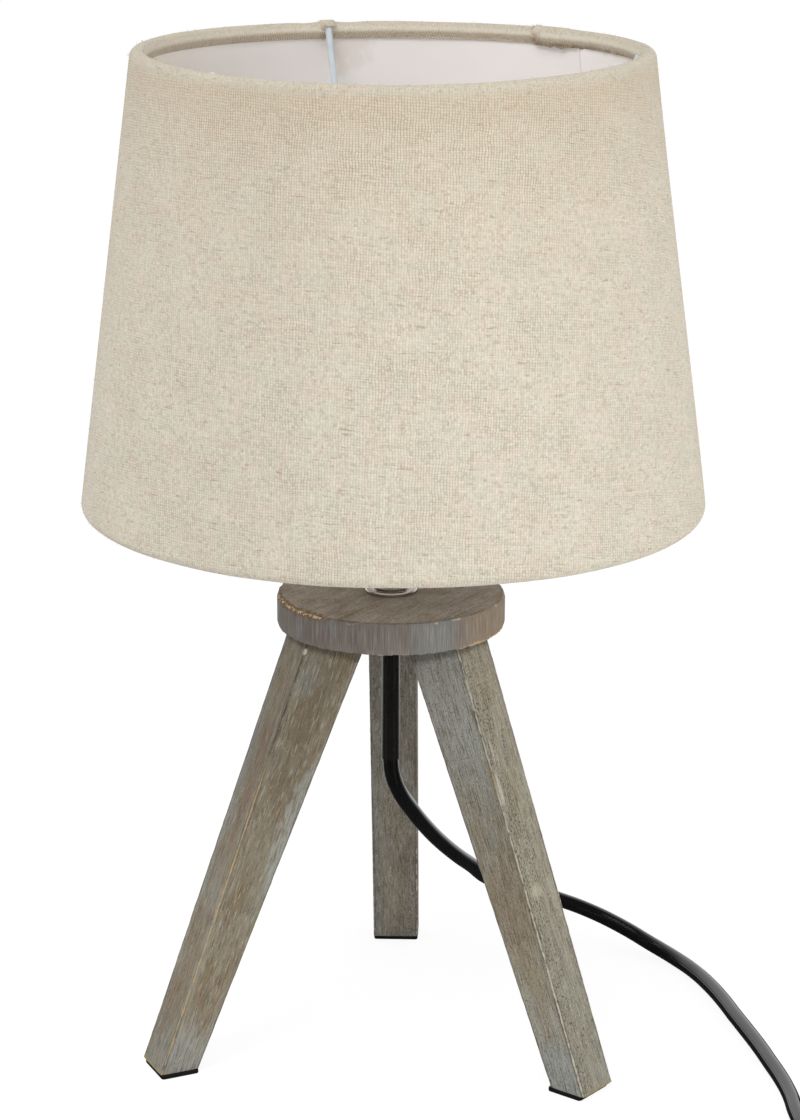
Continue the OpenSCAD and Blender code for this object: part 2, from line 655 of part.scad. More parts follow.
contact_near = 2;                    // inner end of each contact strip
contact_far = 16;                    // outer end, where a lead is clamped
clamp_l = 4;
clamp_w = 3.4;
lead_off = 1.3;                      // each lead's distance from the cord's axis
module switch_contacts() color(brass) lay_switch() for (turn = [0, 1]) mirror([turn, 0, 0]) union() {
    translate([contact_near, -lead_off - 2, switch_wall]) cube([contact_far - contact_near, clamp_w, 1]);
    translate([contact_far - clamp_l, -lead_off - 2, switch_wall])
        cube([clamp_l, clamp_w, switch_axis_z + lead_d / 2 + 0.6 - switch_wall]);
}

module switch_lead(x0, x1, y) translate([x0, y, switch_axis_z]) rotate([0, 90, 0])
    cylinder(d = lead_d, h = x1 - x0, $fn = small_fn);
cord_inside = switch_l / 2 - 5;      // the cord ends 5 mm inside the housing
module switch_leads() color(lead_blue_colour) lay_switch() union() {
    switch_lead(-cord_inside, cord_inside, lead_off);
    for (turn = [0, 1]) mirror([turn, 0, 0]) switch_lead(contact_far, cord_inside, -lead_off);
}

module switch_screws() color(steel) lay_switch() union() {
    switch_bolts(bolt_r, 0.4, switch_h - switch_wall - 0.6);
    switch_bolts(bolt_head_r, 0.4, 2.4);
}

// ---------- plug: built along X, then laid along -Y ----------
module lay_plug() translate(plug_at) rotate([0, 0, -90]) children();

module plug_pin_places() for (y = [-1, 1]) translate([0, y * pin_pitch / 2, 0]) rotate([0, 90, 0]) children();

module plug_edges(x, h, w, t) for (y = [-1, 1], z = [-1, 1])
    translate([x, y * (w / 2 - plug_round), z * (t / 2 - plug_round)])
        rotate([0, 90, 0]) cylinder(r = plug_round, h = h, $fn = 24);

module plug_body() color(black) lay_plug() difference() {
    union() {
        hull() {
            plug_edges(-plug_face_l, plug_face_l, plug_w, plug_t);
            plug_edges(-plug_l, 4, plug_back_w, plug_back_t);
        }
        translate([-plug_l - relief_l, 0, 0]) rotate([0, 90, 0])
            cylinder(r1 = cord_r + 1.1, r2 = cord_r + 2.6, h = relief_l + 2, $fn = small_fn);
    }
    plug_pin_places() translate([0, 0, -pin_root - fit])
        cylinder(r = pin_core_r + fit, h = pin_root + 2, $fn = small_fn);
    translate([-plug_l - relief_l - 1, 0, 0]) rotate([0, 90, 0])
        cylinder(r = cord_r + 0.15, h = relief_l + 12, $fn = small_fn);
    for (k = [0:2]) translate([-plug_l - relief_l + 4.5 + 5 * k, 0, 0]) rotate([0, 90, 0])
        ring_solid(cord_r + 6, cord_r + 1.1 + 0.35 * k, 1.4);
}

module plug_pins() color(nickel) lay_plug() plug_pin_places() union() {
    translate([0, 0, -pin_root]) cylinder(r = pin_core_r, h = pin_root + pin_l - 2, $fn = small_fn);
    translate([0, 0, pin_sleeve_l]) cylinder(d = pin_d, h = pin_l - pin_sleeve_l - pin_tip, $fn = small_fn);
    translate([0, 0, pin_l - pin_tip])
        cylinder(r1 = pin_d / 2, r2 = pin_d / 2 - pin_tip, h = pin_tip, $fn = small_fn);
}

module plug_pin_sleeves() color(black) lay_plug() plug_pin_places()
    ring_solid(pin_core_r + fit + pin_sleeve_t, pin_core_r + fit, pin_sleeve_l);

base_disc();
leg_left();
leg_right();
leg_back();
leg_dowels();
foot_pad_left();
foot_pad_right();
foot_pad_back();
threaded_tube();
tube_nut();
collar_washer();
neck_collar();
holder_cap();
holder_lock_screw();
holder_shell();
holder_insert();
screw_shell();
contact_centre();
contact_side();
terminal_screws();
lead_brown();
lead_blue();
cord_riser();
cord_sleeve();
shade_ring();
shade_fabric();
shade_liner();
shade_top_wire();
shade_bottom_wire();
shade_struts();
shade_fitter();
bulb_globe();
bulb_cap();
bulb_insulator();
bulb_contact();
cord_to_switch();
switch_lower();
switch_upper();
switch_rocker();
switch_contacts();
switch_leads();
switch_screws();
cord_to_coil();
cord_coil();
coil_tie();
cord_to_plug();
plug_body();
plug_pins();
plug_pin_sleeves();
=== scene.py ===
"""The looks of the tripod table lamp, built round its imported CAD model. Lengths are in metres."""
import random
from math import atan2, cos, degrees, exp, pi, radians, sin

import bmesh
import bpy
from mathutils import Matrix, Vector


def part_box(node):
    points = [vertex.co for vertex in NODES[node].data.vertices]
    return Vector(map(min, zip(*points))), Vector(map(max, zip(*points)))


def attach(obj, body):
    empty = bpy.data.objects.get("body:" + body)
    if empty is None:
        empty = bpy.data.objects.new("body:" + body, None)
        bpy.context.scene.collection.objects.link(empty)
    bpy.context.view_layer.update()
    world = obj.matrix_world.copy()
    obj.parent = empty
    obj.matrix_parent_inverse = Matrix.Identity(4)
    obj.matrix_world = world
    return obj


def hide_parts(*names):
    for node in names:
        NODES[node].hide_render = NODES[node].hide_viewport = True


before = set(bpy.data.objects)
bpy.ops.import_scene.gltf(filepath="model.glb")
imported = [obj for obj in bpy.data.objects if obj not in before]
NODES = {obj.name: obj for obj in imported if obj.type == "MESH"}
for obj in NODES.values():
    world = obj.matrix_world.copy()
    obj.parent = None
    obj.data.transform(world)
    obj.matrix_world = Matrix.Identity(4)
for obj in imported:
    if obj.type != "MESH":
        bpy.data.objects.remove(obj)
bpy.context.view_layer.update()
MM = 0.001


def linked(name, data):
    """A new object in the scene."""
    made = bpy.data.objects.new(name, data)
    bpy.context.collection.objects.link(made)
    return made


RIM_DIP = 2.2                                   # in millimetres


# ---------- camera ----------

def camera():
    """The photograph's viewpoint: about 0.9 m in front, 0.41 m up, looking a little down."""
    photo_height = 1120
    focal_px = 3048.6
    pitch, yaw, roll = 0.275, 0.009, 0.004
    lens = bpy.data.cameras.new("viewpoint")
    lens.sensor_width = 36
    lens.lens = focal_px * lens.sensor_width / photo_height
    lens.clip_start = 0.05
    lens.clip_end = 50
    forward = Vector((sin(yaw) * cos(pitch), cos(yaw) * cos(pitch), -sin(pitch)))
    level = Vector((cos(yaw), -sin(yaw), 0))
    above = level.cross(forward)
    right = level * cos(roll) + above * sin(roll)
    up = above * cos(roll) - level * sin(roll)
    turn = Matrix((right, up, -forward)).transposed().to_4x4()
    eye = linked("viewpoint", lens)
    eye.matrix_world = Matrix.Translation((-0.0054, -0.8984, 0.4076)) @ turn
    bpy.context.scene.camera = eye


# ---------- cord ----------

# the routes and the coil are in millimetres, as in the CAD
CORD_R = 0.0025
TO_SWITCH = [
    (0, 0, 94), (0, 0, 90), (0.4, 0.5, 85.5), (2.4, 3.2, 78.5), (6.6, 9, 69.8), (11.5, 16, 61),
    (16.5, 23.5, 53), (22, 31, 45.5), (27, 39.5, 38.7), (32, 48, 31.5), (39.5, 56, 25.5), (48, 62, 20.5),
    (58, 65.5, 16), (68.5, 65, 12), (79, 61, 8), (88, 55, 4.5), (95.5, 46.5, 2.8), (101, 36, 2.5),
    (105, 24.5, 2.5), (108, 13, 2.5), (110.5, 1, 2.5), (113, -10.5, 2.5), (115.5, -22.5, 2.5),
    (117.5, -34, 2.5), (119.5, -46, 2.5), (120.7, -58, 2.5), (121, -70, 2.5), (122.5, -82, 2.5),
    (128, -93, 2.5), (137, -101, 2.5), (148.5, -103.5, 2.5), (160, -99.5, 3), (168, -91, 4),
    (171.5, -80, 5.5), (172, -71, 7), (172, -61, 7)]
TO_COIL = [
    (172, -9, 7), (172, -2, 7), (172, 8, 6), (172, 16, 4.4), (172, 22, 3.2), (172, 27, 3.2)]
TO_PLUG = [
    (250, 27, 8.7), (250, 22, 8.7), (250, 15, 8.2), (249.5, 6, 7.2), (248, -6, 6), (245, -17, 5.4),
    (241, -27, 5.4), (237.5, -37, 6.2), (236, -47, 7), (236, -58, 7)]
COIL_AT = (211, 32)
COIL_TURNS = 6.5
COIL_STEP = 5.5
COIL_IN = 21.125
COIL_LOW = 3.2
COIL_RINGS = 24


def coil_point(turn):
    """A point on the coil, which spirals in, climbs a layer where it turns back, and spirals out."""
    angle = pi - 2 * pi * turn
    radius = COIL_IN + COIL_STEP * abs(COIL_TURNS / 2 - turn)
    climb = min(1, max(0, (turn - COIL_TURNS / 2 + 0.25) * 2))
    height = COIL_LOW + COIL_STEP * climb * climb * (3 - 2 * climb)
    return (COIL_AT[0] + radius * cos(angle), COIL_AT[1] + radius * sin(angle), height)


def cord_curve(name, points, steps):
    """A round cord along one smooth spline."""
    curve = bpy.data.curves.new(name, "CURVE")
    curve.dimensions = "3D"
    curve.bevel_depth = CORD_R
    curve.bevel_resolution = 6
    curve.use_fill_caps = True
    curve.resolution_u = steps
    spline = curve.splines.new("BEZIER")
    spline.bezier_points.add(len(points) - 1)
    for knot, point in zip(spline.bezier_points, points):
        knot.co = Vector(point) * MM
        knot.handle_left_type = knot.handle_right_type = "AUTO"
    return linked(name, curve)


def cords(finish):
    """The lead from the lamp to its switch, and on through the coil to the plug."""
    lamp_cord = cord_curve("cord_lamp_to_switch", TO_SWITCH, 8)
    coil = [coil_point(i / COIL_RINGS) for i in range(int(COIL_TURNS * COIL_RINGS) + 1)]
    plug_cord = cord_curve("cord_switch_to_plug", TO_COIL + coil + TO_PLUG, 4)
    for cord in (lamp_cord, plug_cord):
        cord.data.materials.append(finish)
        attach(cord, "base")
    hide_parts("cord_to_switch")
    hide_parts("cord_to_coil", "cord_coil", "cord_to_plug")
    return lamp_cord, plug_cord


# ---------- shaping helpers ----------

def only(piece):
    """Makes one piece the selected and active one."""
    bpy.ops.object.select_all(action="DESELECT")
    piece.select_set(True)
    bpy.context.view_layer.objects.active = piece


def edit(piece, choice="DESELECT"):
    only(piece)
    bpy.ops.object.mode_set(mode="EDIT")
    bpy.ops.mesh.select_all(action=choice)


def leave():
    bpy.ops.object.mode_set(mode="OBJECT")


def pick(kind, test):
    """In edit mode, selects the faces, by centre and normal, or the edges, by two ends, that pass a test."""
    bpy.ops.mesh.select_mode(type=kind)
    mesh = bmesh.from_edit_mesh(bpy.context.object.data)
    if kind == "FACE":
        for face in mesh.faces:
            face.select_set(test(face.calc_center_median(), face.normal))
    else:
        for edge in mesh.edges:
            edge.select_set(test(*(v.co for v in edge.verts)))
    mesh.select_flush_mode()
    bmesh.update_edit_mesh(bpy.context.object.data)


def modify(piece, kind, **settings):
    """Adds a modifier and applies it."""
    only(piece)
    made = piece.modifiers.new(kind.lower(), kind)
    for key, value in settings.items():
        setattr(made, key, value)
    bpy.ops.object.modifier_apply(modifier=made.name)


def smooth(piece, degrees=35):
    only(piece)
    bpy.ops.object.shade_smooth_by_angle(angle=radians(degrees))


def place(piece, name, finish, *nodes, body="base", slot=None, turn=0):
    """Turns a piece to its bearing, puts its place into its mesh, and hangs it on its body. The finish is its
    one material. The slot argument is not used."""
    only(piece)
    piece.rotation_euler = (0, 0, turn)
    bpy.ops.object.transform_apply()
    piece.name = piece.data.name = name
    piece.data.materials.clear()
    piece.data.materials.append(finish)
    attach(piece, body)
    slot or finish.name.split(".")[0]
    if nodes:
        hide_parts(*nodes)
    return piece


def uneven(piece, size, depth, seed, group=""):
    """Pushes a surface in and out by slow noise, as wear or handwork leaves it."""
    noise = bpy.data.textures.new("uneven", "CLOUDS")
    noise.noise_scale = size
    noise.noise_depth = 2
    shift = linked("uneven_at", None)
    shift.location = (seed * 0.37, seed * 0.11, seed * 0.23)
    bpy.context.view_layer.update()
    modify(piece, "DISPLACE", texture=noise, strength=depth, mid_level=0.9, vertex_group=group,
           texture_coords="OBJECT", texture_coords_object=shift)
    bpy.data.objects.remove(shift)


def eased(node, edge, steps=2, angle=30):
    """A welded copy of a CAD piece with its sharp edges rounded off, by a width in millimetres."""
    piece = linked(node + "_eased", NODES[node].data.copy())
    edit(piece, "SELECT")
    bpy.ops.mesh.customdata_custom_splitnormals_clear()
    bpy.ops.mesh.remove_doubles(threshold=0.002 * MM)
    bpy.ops.mesh.dissolve_limited(angle_limit=radians(0.6))
    leave()
    modify(piece, "BEVEL", width=edge * MM, segments=steps, limit_method="ANGLE",
           angle_limit=radians(angle))
    smooth(piece)
    return piece


def dress(node, edge, name, finish, steps=2, angle=30, body="base"):
    return place(eased(node, edge, steps, angle), name, finish, node, body=body)


def carry(finish, *nodes):
    """Gives CAD pieces whose shape is right their finish."""
    for node in nodes:
        mesh = NODES[node].data
        mesh.materials.clear()
        mesh.materials.append(finish)


# ---------- material helpers ----------

def tint(red, green, blue):
    """A colour as a screen shows it, 0 to 255, turned into Blender's linear values."""
    linear = [c / 12.92 if c <= 0.04045 else ((c + 0.055) / 1.055) ** 2.4
              for c in (red / 255, green / 255, blue / 255)]
    return (*linear, 1)


def shaded(tones, share):
    """A colour at a share of its brightness, as linear values."""
    return (*(c * share for c in tint(*tones)[:3]), 1)


class Value:
    """What a node gives. Sums, differences, products and sizes of it are written as such."""

    def __init__(self, nodes, socket):
        self.nodes, self.socket = nodes, socket

    def __add__(self, other):
        return self.nodes.math("ADD", self, other)

    def __sub__(self, other):
        return self.nodes.math("SUBTRACT", self, other)

    def __rsub__(self, other):
        return self.nodes.math("SUBTRACT", other, self)

    def __mul__(self, other):
        return self.nodes.math("MULTIPLY", self, other)

    def __truediv__(self, other):
        return self.nodes.math("DIVIDE", self, other)

    def __abs__(self):
        return self.nodes.math("ABSOLUTE", self)


class Nodes:
    """Short calls for the nodes of one tree."""

    def __init__(self, tree):
        self.tree = tree

    def feed(self, socket, value):
        if isinstance(value, Value):
            self.tree.links.new(value.socket, socket)
        elif value is not None:
            socket.default_value = value

    def add(self, kind, *values, out=0, **settings):
        """A node with its first inputs fed in order; gives one of its outputs."""
        made = self.tree.nodes.new("ShaderNode" + kind)
        for key, value in settings.items():
            setattr(made, key, value)
        for socket, value in zip(made.inputs, values):
            self.feed(socket, value)
        return Value(self, made.outputs[out]) if made.outputs else made

    def math(self, operation, *values):
        return self.add("Math", *values, operation=operation)

    def most(self, a, b):
        return self.math("MAXIMUM", a, b)

    def vector(self, operation, *values):
        return self.add("VectorMath", *values, operation=operation)

    def length(self, vector):
        return self.add("VectorMath", vector, out=1, operation="LENGTH")

    def scaled(self, vector, factor):
        return self.vector("SCALE", vector, None, None, factor)

    def split(self, vector):
        made = self.add("SeparateXYZ", vector).socket.node
        return [Value(self, socket) for socket in made.outputs]

    def mapped(self, vector, shift=None, turn=None, scale=None):
        return self.add("Mapping", vector, shift, turn, scale)

    def noise(self, vector, size=1, detail=2, roughness=0.5, kind=0):
        """Noise whose spots are about a size across, in the vector's own units."""
        return self.add("TexNoise", vector, None, 1 / size, detail, roughness, out=kind)

    def streaks(self, vector, x, y, z, shift=0, detail=2):
        """Noise whose spots are x, y and z long, in the vector's own units."""
        return self.noise(self.mapped(vector, (shift,) * 3, scale=(1 / x, 1 / y, 1 / z)), detail=detail)

    def step(self, value, low, high):
        """0 below low, 1 above high, and smooth between them."""
        return self.add("MapRange", value, low, high, interpolation_type="SMOOTHSTEP")

    def span(self, value, low, high, to_low, to_high):
        """A value carried from one range to another."""
        return self.add("MapRange", value, low, high, to_low, to_high)

    def window(self, value, low, high, soft):
        """1 between two values, fading to 0 over soft on either side."""
        return self.step(value, low - soft, low + soft) * self.step(value, high + soft, high - soft)

    def blend(self, share, a, b):
        return self.add("Mix", share, None, a, b)

    def mix(self, share, a, b):
        """Mixes two colours, each a node's or three screen tones or linear values."""
        a, b = (tint(*c) if isinstance(c, tuple) and len(c) == 3 else c for c in (a, b))
        return self.add("Mix", share, *[None] * 5, a, b, out=2, data_type="RGBA")


class Finish(Nodes):
    """A surface's material. Its coordinates are in millimetres."""

    def __init__(self, name):
        self.material = bpy.data.materials.new(name)
        self.material.use_nodes = True
        super().__init__(self.material.node_tree)
        self.shader = self.tree.nodes["Principled BSDF"]

    def coat(self, share, colour):
        """Lays a colour over what the finish has so far."""
        self.colour = self.mix(share, self.colour, colour)

    def blot(self, vector, centre, size, edge_noise, share, colour):
        """Lays one patch of a colour with a ragged outline, centre and size in millimetres."""
        off = self.vector("SUBTRACT", vector, centre)
        reach = self.length(self.mapped(off, scale=[1 / s for s in size]))
        self.coat(self.step(reach + self.span(edge_noise, 0.25, 0.75, -0.5, 0.5), 1.3, 0.6) * share, colour)

    def set(self, **sockets):
        """Feeds the shader's sockets, named with _ for a space."""
        for key, value in sockets.items():
            self.feed(self.shader.inputs[key.replace("_", " ")], value)
        return self.material

    def where(self):
        return self.scaled(self.add("TexCoord", out=3), 1 / MM)

    def radius(self):
        """How far out from the lamp's axis."""
        return self.length(self.mapped(self.where(), scale=(1, 1, 0)))

    def bearing(self):
        """Degrees round the lamp's axis, from -180 to 180."""
        x, y, _ = self.split(self.where())
        return self.math("DEGREES", self.math("ARCTAN2", y, x))

    def bump(self, height, depth, strength):
        """Relief of a depth in millimetres; gives the finished material."""
        made = self.tree.nodes.new("ShaderNodeBump")
        for key, value in (("Height", height), ("Distance", depth * MM), ("Strength", strength)):
            self.feed(made.inputs[key], value)
        return self.set(Normal=Value(self, made.outputs[0]))


# ---------- finishes ----------

def moulded(name, tones, rough=0.4, grain=0.3, depth=0.01, patchy=0.08, shine=0.3):
    """Moulded plastic or rubber: a fine grain, and gloss that varies a little."""
    f = Finish(name)
    slow = f.noise(f.where(), 9, 3)
    f.set(Base_Color=f.mix(f.step(slow, 0.35, 0.65), tones, shaded(tones, 1 - patchy * 2)),
          Specular_IOR_Level=shine, Roughness=f.span(slow, 0.3, 0.7, rough - patchy / 2, rough + patchy))
    return f.bump(f.noise(f.where(), grain), depth, 0.6)


def metal(name, tones, rough=0.2, along=(0.25, 0.25, 6), depth=0.004, dull=0.1):
    """Plated or turned metal: faint drawing lines and slightly uneven gloss."""
    f = Finish(name)
    lines = f.streaks(f.where(), *along)
    slow = f.noise(f.where(), 5)
    f.set(Base_Color=f.mix(f.step(slow, 0.4, 0.7), tones, shaded(tones, 0.82)), Metallic=1,
          Roughness=f.span(lines + slow, 0.6, 1.4, rough, rough + dull))
    return f.bump(lines, depth, 0.5)


def linen():
    """Plain-woven linen in the flat cut's own millimetres: warp, weft, slubs and flecks."""
    warp_pitch, weft_pitch = 0.78, 0.79
    f = Finish("linen")
    cut = f.scaled(f.add("UVMap", uv_map="cut"), 1 / MM)
    wander = f.vector("SUBTRACT", f.noise(cut, 6, 3, kind=1), (0.5, 0.5, 0.5))
    laid = f.vector("ADD", cut, f.scaled(wander, 1.5))
    x, y, _ = f.split(laid)
    a = x / warp_pitch
    b = (x * 0.05 + y) / weft_pitch
    threads = f.add("CombineXYZ", a, b)
    across = f.math("SINE", a * pi)
    down = f.math("SINE", b * pi)
    over = f.span(across * down * 2.5, -1, 1, 0, 1)
    warp_round = f.math("POWER", abs(across), 0.7)
    weft_round = f.math("POWER", abs(down), 0.7)
    warp_top = warp_round * f.span(over, 0, 1, 0.5, 1)
    weft_top = weft_round * f.span(over, 0, 1, 0.8, 0.25)
    height = f.most(warp_top, weft_top)
    # the spun flax changes tone along each thread, from crossing to crossing, and in streaky patches
    warp_tone = f.streaks(threads, 0.8, 12, 1, 3.1)
    weft_tone = f.streaks(threads, 12, 0.8, 1, 7.7)
    tone = f.span(over, 0, 1, weft_tone, warp_tone)
    crossing = f.add("TexWhiteNoise", f.vector("FLOOR", threads), noise_dimensions="2D")
    fleck = f.noise(threads, 1.25, 3, 0.75)
    hue = f.streaks(cut, 4, 12, 1, 2.2, 3) + f.streaks(cut, 13, 4, 1, 5.2, 3)
    pink, green, pale = (204, 193, 177), (198, 195, 179), (219, 212, 196)
    dark, brown = (154, 139, 116), (152, 126, 98)
    _, ahead, level = f.split(f.where())
    level += f.span(ahead, 0, -75, 0, RIM_DIP)
    radius = f.radius()
    high = f.step(level, 268, 302) * f.step(level, 308.5, 306)
    f.colour = f.mix(f.step(hue, 0.9, 1.1), pink, green)
    mottle = f.noise(laid, 1.5, 3, 0.6)
    f.coat(f.step(tone, 0.36, 0.62) * 0.6, pale)
    f.coat(f.span(mottle, 0.42, 0.68, 0, 0.3), (186, 172, 150))
    f.coat(f.span(mottle, 0.5, 0.3, 0, 0.45), (222, 215, 200))
    f.coat(f.span(crossing, 0.6, 1, 0, 0.34), pale)
    f.coat(f.span(crossing, 0.2, 0, 0, 0.3), dark)
    f.coat(f.step(fleck, 0.6, 0.74) * 0.6, brown)
    # painted shade: each warp thread darker along its sides, where it rounds away
    f.coat(f.span(warp_round, 0.75, 0, 0, 0.16), dark)
    warp_slub = f.step(f.streaks(threads, 0.9, 2.2, 1, 11.3, 1), 0.69, 0.76)
    weft_slub = f.step(f.streaks(threads, 6, 0.85, 1, 17.9, 1), 0.655, 0.75)
    slub = f.most(warp_slub, weft_slub)
    f.coat(slub * 0.48, (156, 130, 100))
    # painted shade in the gaps between the threads, stronger near the top rim
    gap_shade = high * 0.45 + f.span(f.noise(cut, 14), 0.35, 0.65, 0.16, 0.52)
    f.coat(f.step(height, 0.7, 0.25) * gap_shade, (146, 128, 102))
    specks = f.noise(threads, 1 / 1.1, 2, 0.6)
    # the rolled hem: brown specks over a darker colour, painted shade on its lit top, and paler on its
    # turned-in underside, painted light where shade falls under it
    rolled = f.mix(f.step(specks, 0.56, 0.7) * 0.55, f.mix(0.5, f.colour, (182, 173, 156)), brown)
    painted_light_under_roll = f.step(level, 309.4, 306.8) * f.step(radius, 75.4, 73.8)
    rolled = f.mix(painted_light_under_roll * 0.8, rolled, (242, 235, 220))
    # painted shade: the cloth darker up towards the top rim, most near the rim
    f.coat(f.step(level, 215, 312) * 0.2, (184, 166, 140))
    f.coat(f.step(level, 294, 306) * 0.22, (180, 160, 134))
    f.coat(f.step(level, 306.5, 308.5), rolled)
    # the cut ends and edges inside the rim are brown
    degrees = f.bearing()
    inside = f.step(radius, 73.7, 73.2) * f.step(level, 300, 303)
    edge = f.step(level, 306.4, 305.2) * f.window(degrees, 10, 54, 4)
    cut_end = f.window(degrees, 49.6, 52.6, 0.8) * f.step(level, 309.2, 307.5)
    torn = f.most(edge, cut_end) * f.span(mottle, 0.35, 0.6, 0.2, 1)
    f.coat(torn * inside * 0.75, (138, 110, 82))
    relief = height + (slub + fleck) * 0.3
    f.set(Base_Color=f.colour, Roughness=0.94, Specular_IOR_Level=0.15, Sheen_Weight=0.12,
          Sheen_Roughness=0.5)
    return f.bump(relief, 0.2, 0.7)


def lining():
    """The lining's smooth warm white film, with the faint grain of its sheet."""
    f = Finish("lining")
    at = f.where()
    slow = f.noise(at, 35)
    fine = f.noise(at, 0.8)
    f.colour = f.mix(f.step(slow, 0.3, 0.7), (245, 240, 238), (241, 236, 233))
    degrees = f.bearing()
    # painted shadow: a thin grey line at the lining's lapped seam
    f.coat(f.window(degrees, LINING_SEAM - 0.15, LINING_SEAM + 0.15, 0.1) * 0.6, (150, 150, 146))
    # painted shade: the lining darker and warmer towards the left, bearings 150 to 215 degrees
    f.coat(f.window(degrees, 150, 215, 30) * 0.7, (232, 219, 199))
    # painted shadow: a soft brownish patch for the back strut's shadow, running down the lining beside it
    f.blot(at, (-13.5, 72, 304), (7, 4, 13), f.noise(at, 5), 0.32, (216, 203, 188))
    f.set(Base_Color=f.colour, Roughness=f.span(fine, 0.3, 0.7, 0.5, 0.6), Specular_IOR_Level=0.3)
    return f.bump(fine, 0.02, 0.4)


def painted_wire(name, tones):
    f = Finish(name)
    slow = f.noise(f.where(), 4, 3)
    f.set(Base_Color=f.mix(f.step(slow, 0.35, 0.7), tones, shaded(tones, 0.9)),
          Roughness=f.span(slow, 0.3, 0.7, 0.32, 0.45), Coat_Weight=0.15)
    return f.bump(f.noise(f.where(), 0.9), 0.03, 0.4)


def opal():
    """Opal glass, unlit: milky, with a soft gloss."""
    f = Finish("opal_glass")
    slow = f.noise(f.where(), 14)
    return f.set(Base_Color=f.mix(f.step(slow, 0.3, 0.7), (243, 241, 234), (238, 236, 229)),
                 Roughness=f.span(slow, 0.3, 0.7, 0.16, 0.24), Coat_Weight=0.4, Coat_Roughness=0.08)


def washed_wood(f, at, view, look):
    """Grey-washed softwood. The vector holds millimetres across, along the width and up the grain, with the
    outer face at x = 0. look has two tones for each face that shows, brown first and then grey."""
    seed = look["seed"]
    x, y, z = f.split(at)
    on_outer = f.step(x, -0.9, -0.5)
    on_plus = f.step(y, -1, 1)
    faces = []
    for tone in (0, 1):
        side = f.mix(on_plus, look["minus"][tone], look["plus"][tone])
        faces.append(f.mix(on_outer, side, look["outer"][tone]))
    mottle = f.streaks(at, 4.5, 4.5, 17, seed, 4)
    f.colour = f.mix(f.step(mottle, 0.4, 0.6), *faces)
    blue = f.streaks(at, 3.5, 3.5, 14, seed + 5, 4)
    foot = f.step(z, 22, 4)
    bluish = f.most(f.step(blue, 0.58, 0.72), foot * f.step(blue, 0.4, 0.6))
    f.coat(bluish * 0.45, (140, 145, 141))
    # edges where the wash stayed thicker
    inner_x = f.span(z, 0, look["length"], -look["depth"][0], -look["depth"][1])
    from_face = f.math("MINIMUM", abs(x), abs(x - inner_x))
    from_side = view["width"] / 2 / MM - abs(y)
    from_edge = f.most(from_face, from_side)
    band = from_edge + f.span(mottle, 0.3, 0.7, -2.2, 2)
    f.coat(f.step(band, 2.4, 0.2) * 0.45, (150, 149, 141))
    edge_noise = f.streaks(at, 1.6, 1.6, 5, seed + 37, 3)
    for centre, size, share, patch in look["patches"]:
        f.blot(at, centre, size, edge_noise, share, patch)
    # grain: fine lines, wider soft ones, pale wash left between them, and flecks
    fine = f.streaks(at, 0.4, 0.4, 6, seed + 9, 2)
    wide = f.streaks(at, 0.9, 0.9, 26, seed + 13, 3)
    wash = f.streaks(at, 0.55, 0.55, 4, seed + 17, 3)
    flecks = f.streaks(at, 0.42, 0.42, 0.85, seed + 21, 3)
    field = f.streaks(at, 3, 3, 12, seed + 25, 2) + f.span(y, -7, 3, 0.2, -0.05)
    f.coat(f.span(wide, 0.35, 0.65, 0, 0.26), (98, 86, 70))
    f.coat(f.step(fine, 0.5, 0.66) * 0.55, (80, 72, 58))
    f.coat(f.step(wash, 0.54, 0.7) * 0.34, (184, 180, 164))
    fleck_share = f.span(on_outer, 0, 1, look["side_flecks"], look["outer_flecks"])
    dark_fleck = f.step(flecks, 0.52, 0.62) * f.step(field, 0.4, 0.62)
    f.coat(dark_fleck * fleck_share, (70, 64, 54))
    light_fleck = f.step(flecks, 0.42, 0.3) * f.step(field, 0.62, 0.42)
    f.coat(light_fleck * fleck_share, (188, 183, 168))
    # long edges rubbed bare, with a dark line beside them here and there
    ragged = f.streaks(at, 0.8, 0.8, 2.2, seed + 29, 4)
    kind = f.streaks(at, 30, 30, 26, seed + 33, 2)
    bare = f.mix(f.step(kind, look["gold"] + 0.05, look["gold"] - 0.05), (186, 180, 162), (178, 150, 104))
    bare = f.mix(f.step(z, look["dark_above"] - 8, look["dark_above"] + 8), bare, (88, 72, 54))
    beside = f.window(from_edge, 0.45, 0.95, 0.25)
    f.coat(beside * f.span(kind, 0.4, 0.6, 0.15, 0.6), (82, 68, 50))
    worn = f.step(f.span(ragged, 0.3, 0.66, 0.18, 0.75) - from_edge, 0, 0.2)
    f.coat(worn * 0.8, bare)
    # painted shadow: a dark band at the top of each leg, under the plate
    plate_shadow = f.step(z + f.span(ragged, 0.3, 0.7, -0.5, 0.5), look["length"] - 3.4, look["length"] - 1.2)
    f.coat(plate_shadow * 0.55, (58, 52, 44))
    low_rim = f.step(z + f.span(ragged, 0.3, 0.7, 0.5, -0.9), 0.9, 0.3)
    f.coat(low_rim * 0.6, (150, 136, 92))
    for centre, size, share, patch in look["spots"]:
        f.blot(at, centre, size, wash, share, patch)
    relief = wash * 0.6 - f.step(fine, 0.5, 0.7)
    f.set(Base_Color=f.colour, Roughness=f.span(wide, 0.3, 0.7, 0.7, 0.84), Specular_IOR_Level=0.3)
    return f.bump(relief, 0.12, 0.6)


# ---------- tripod ----------

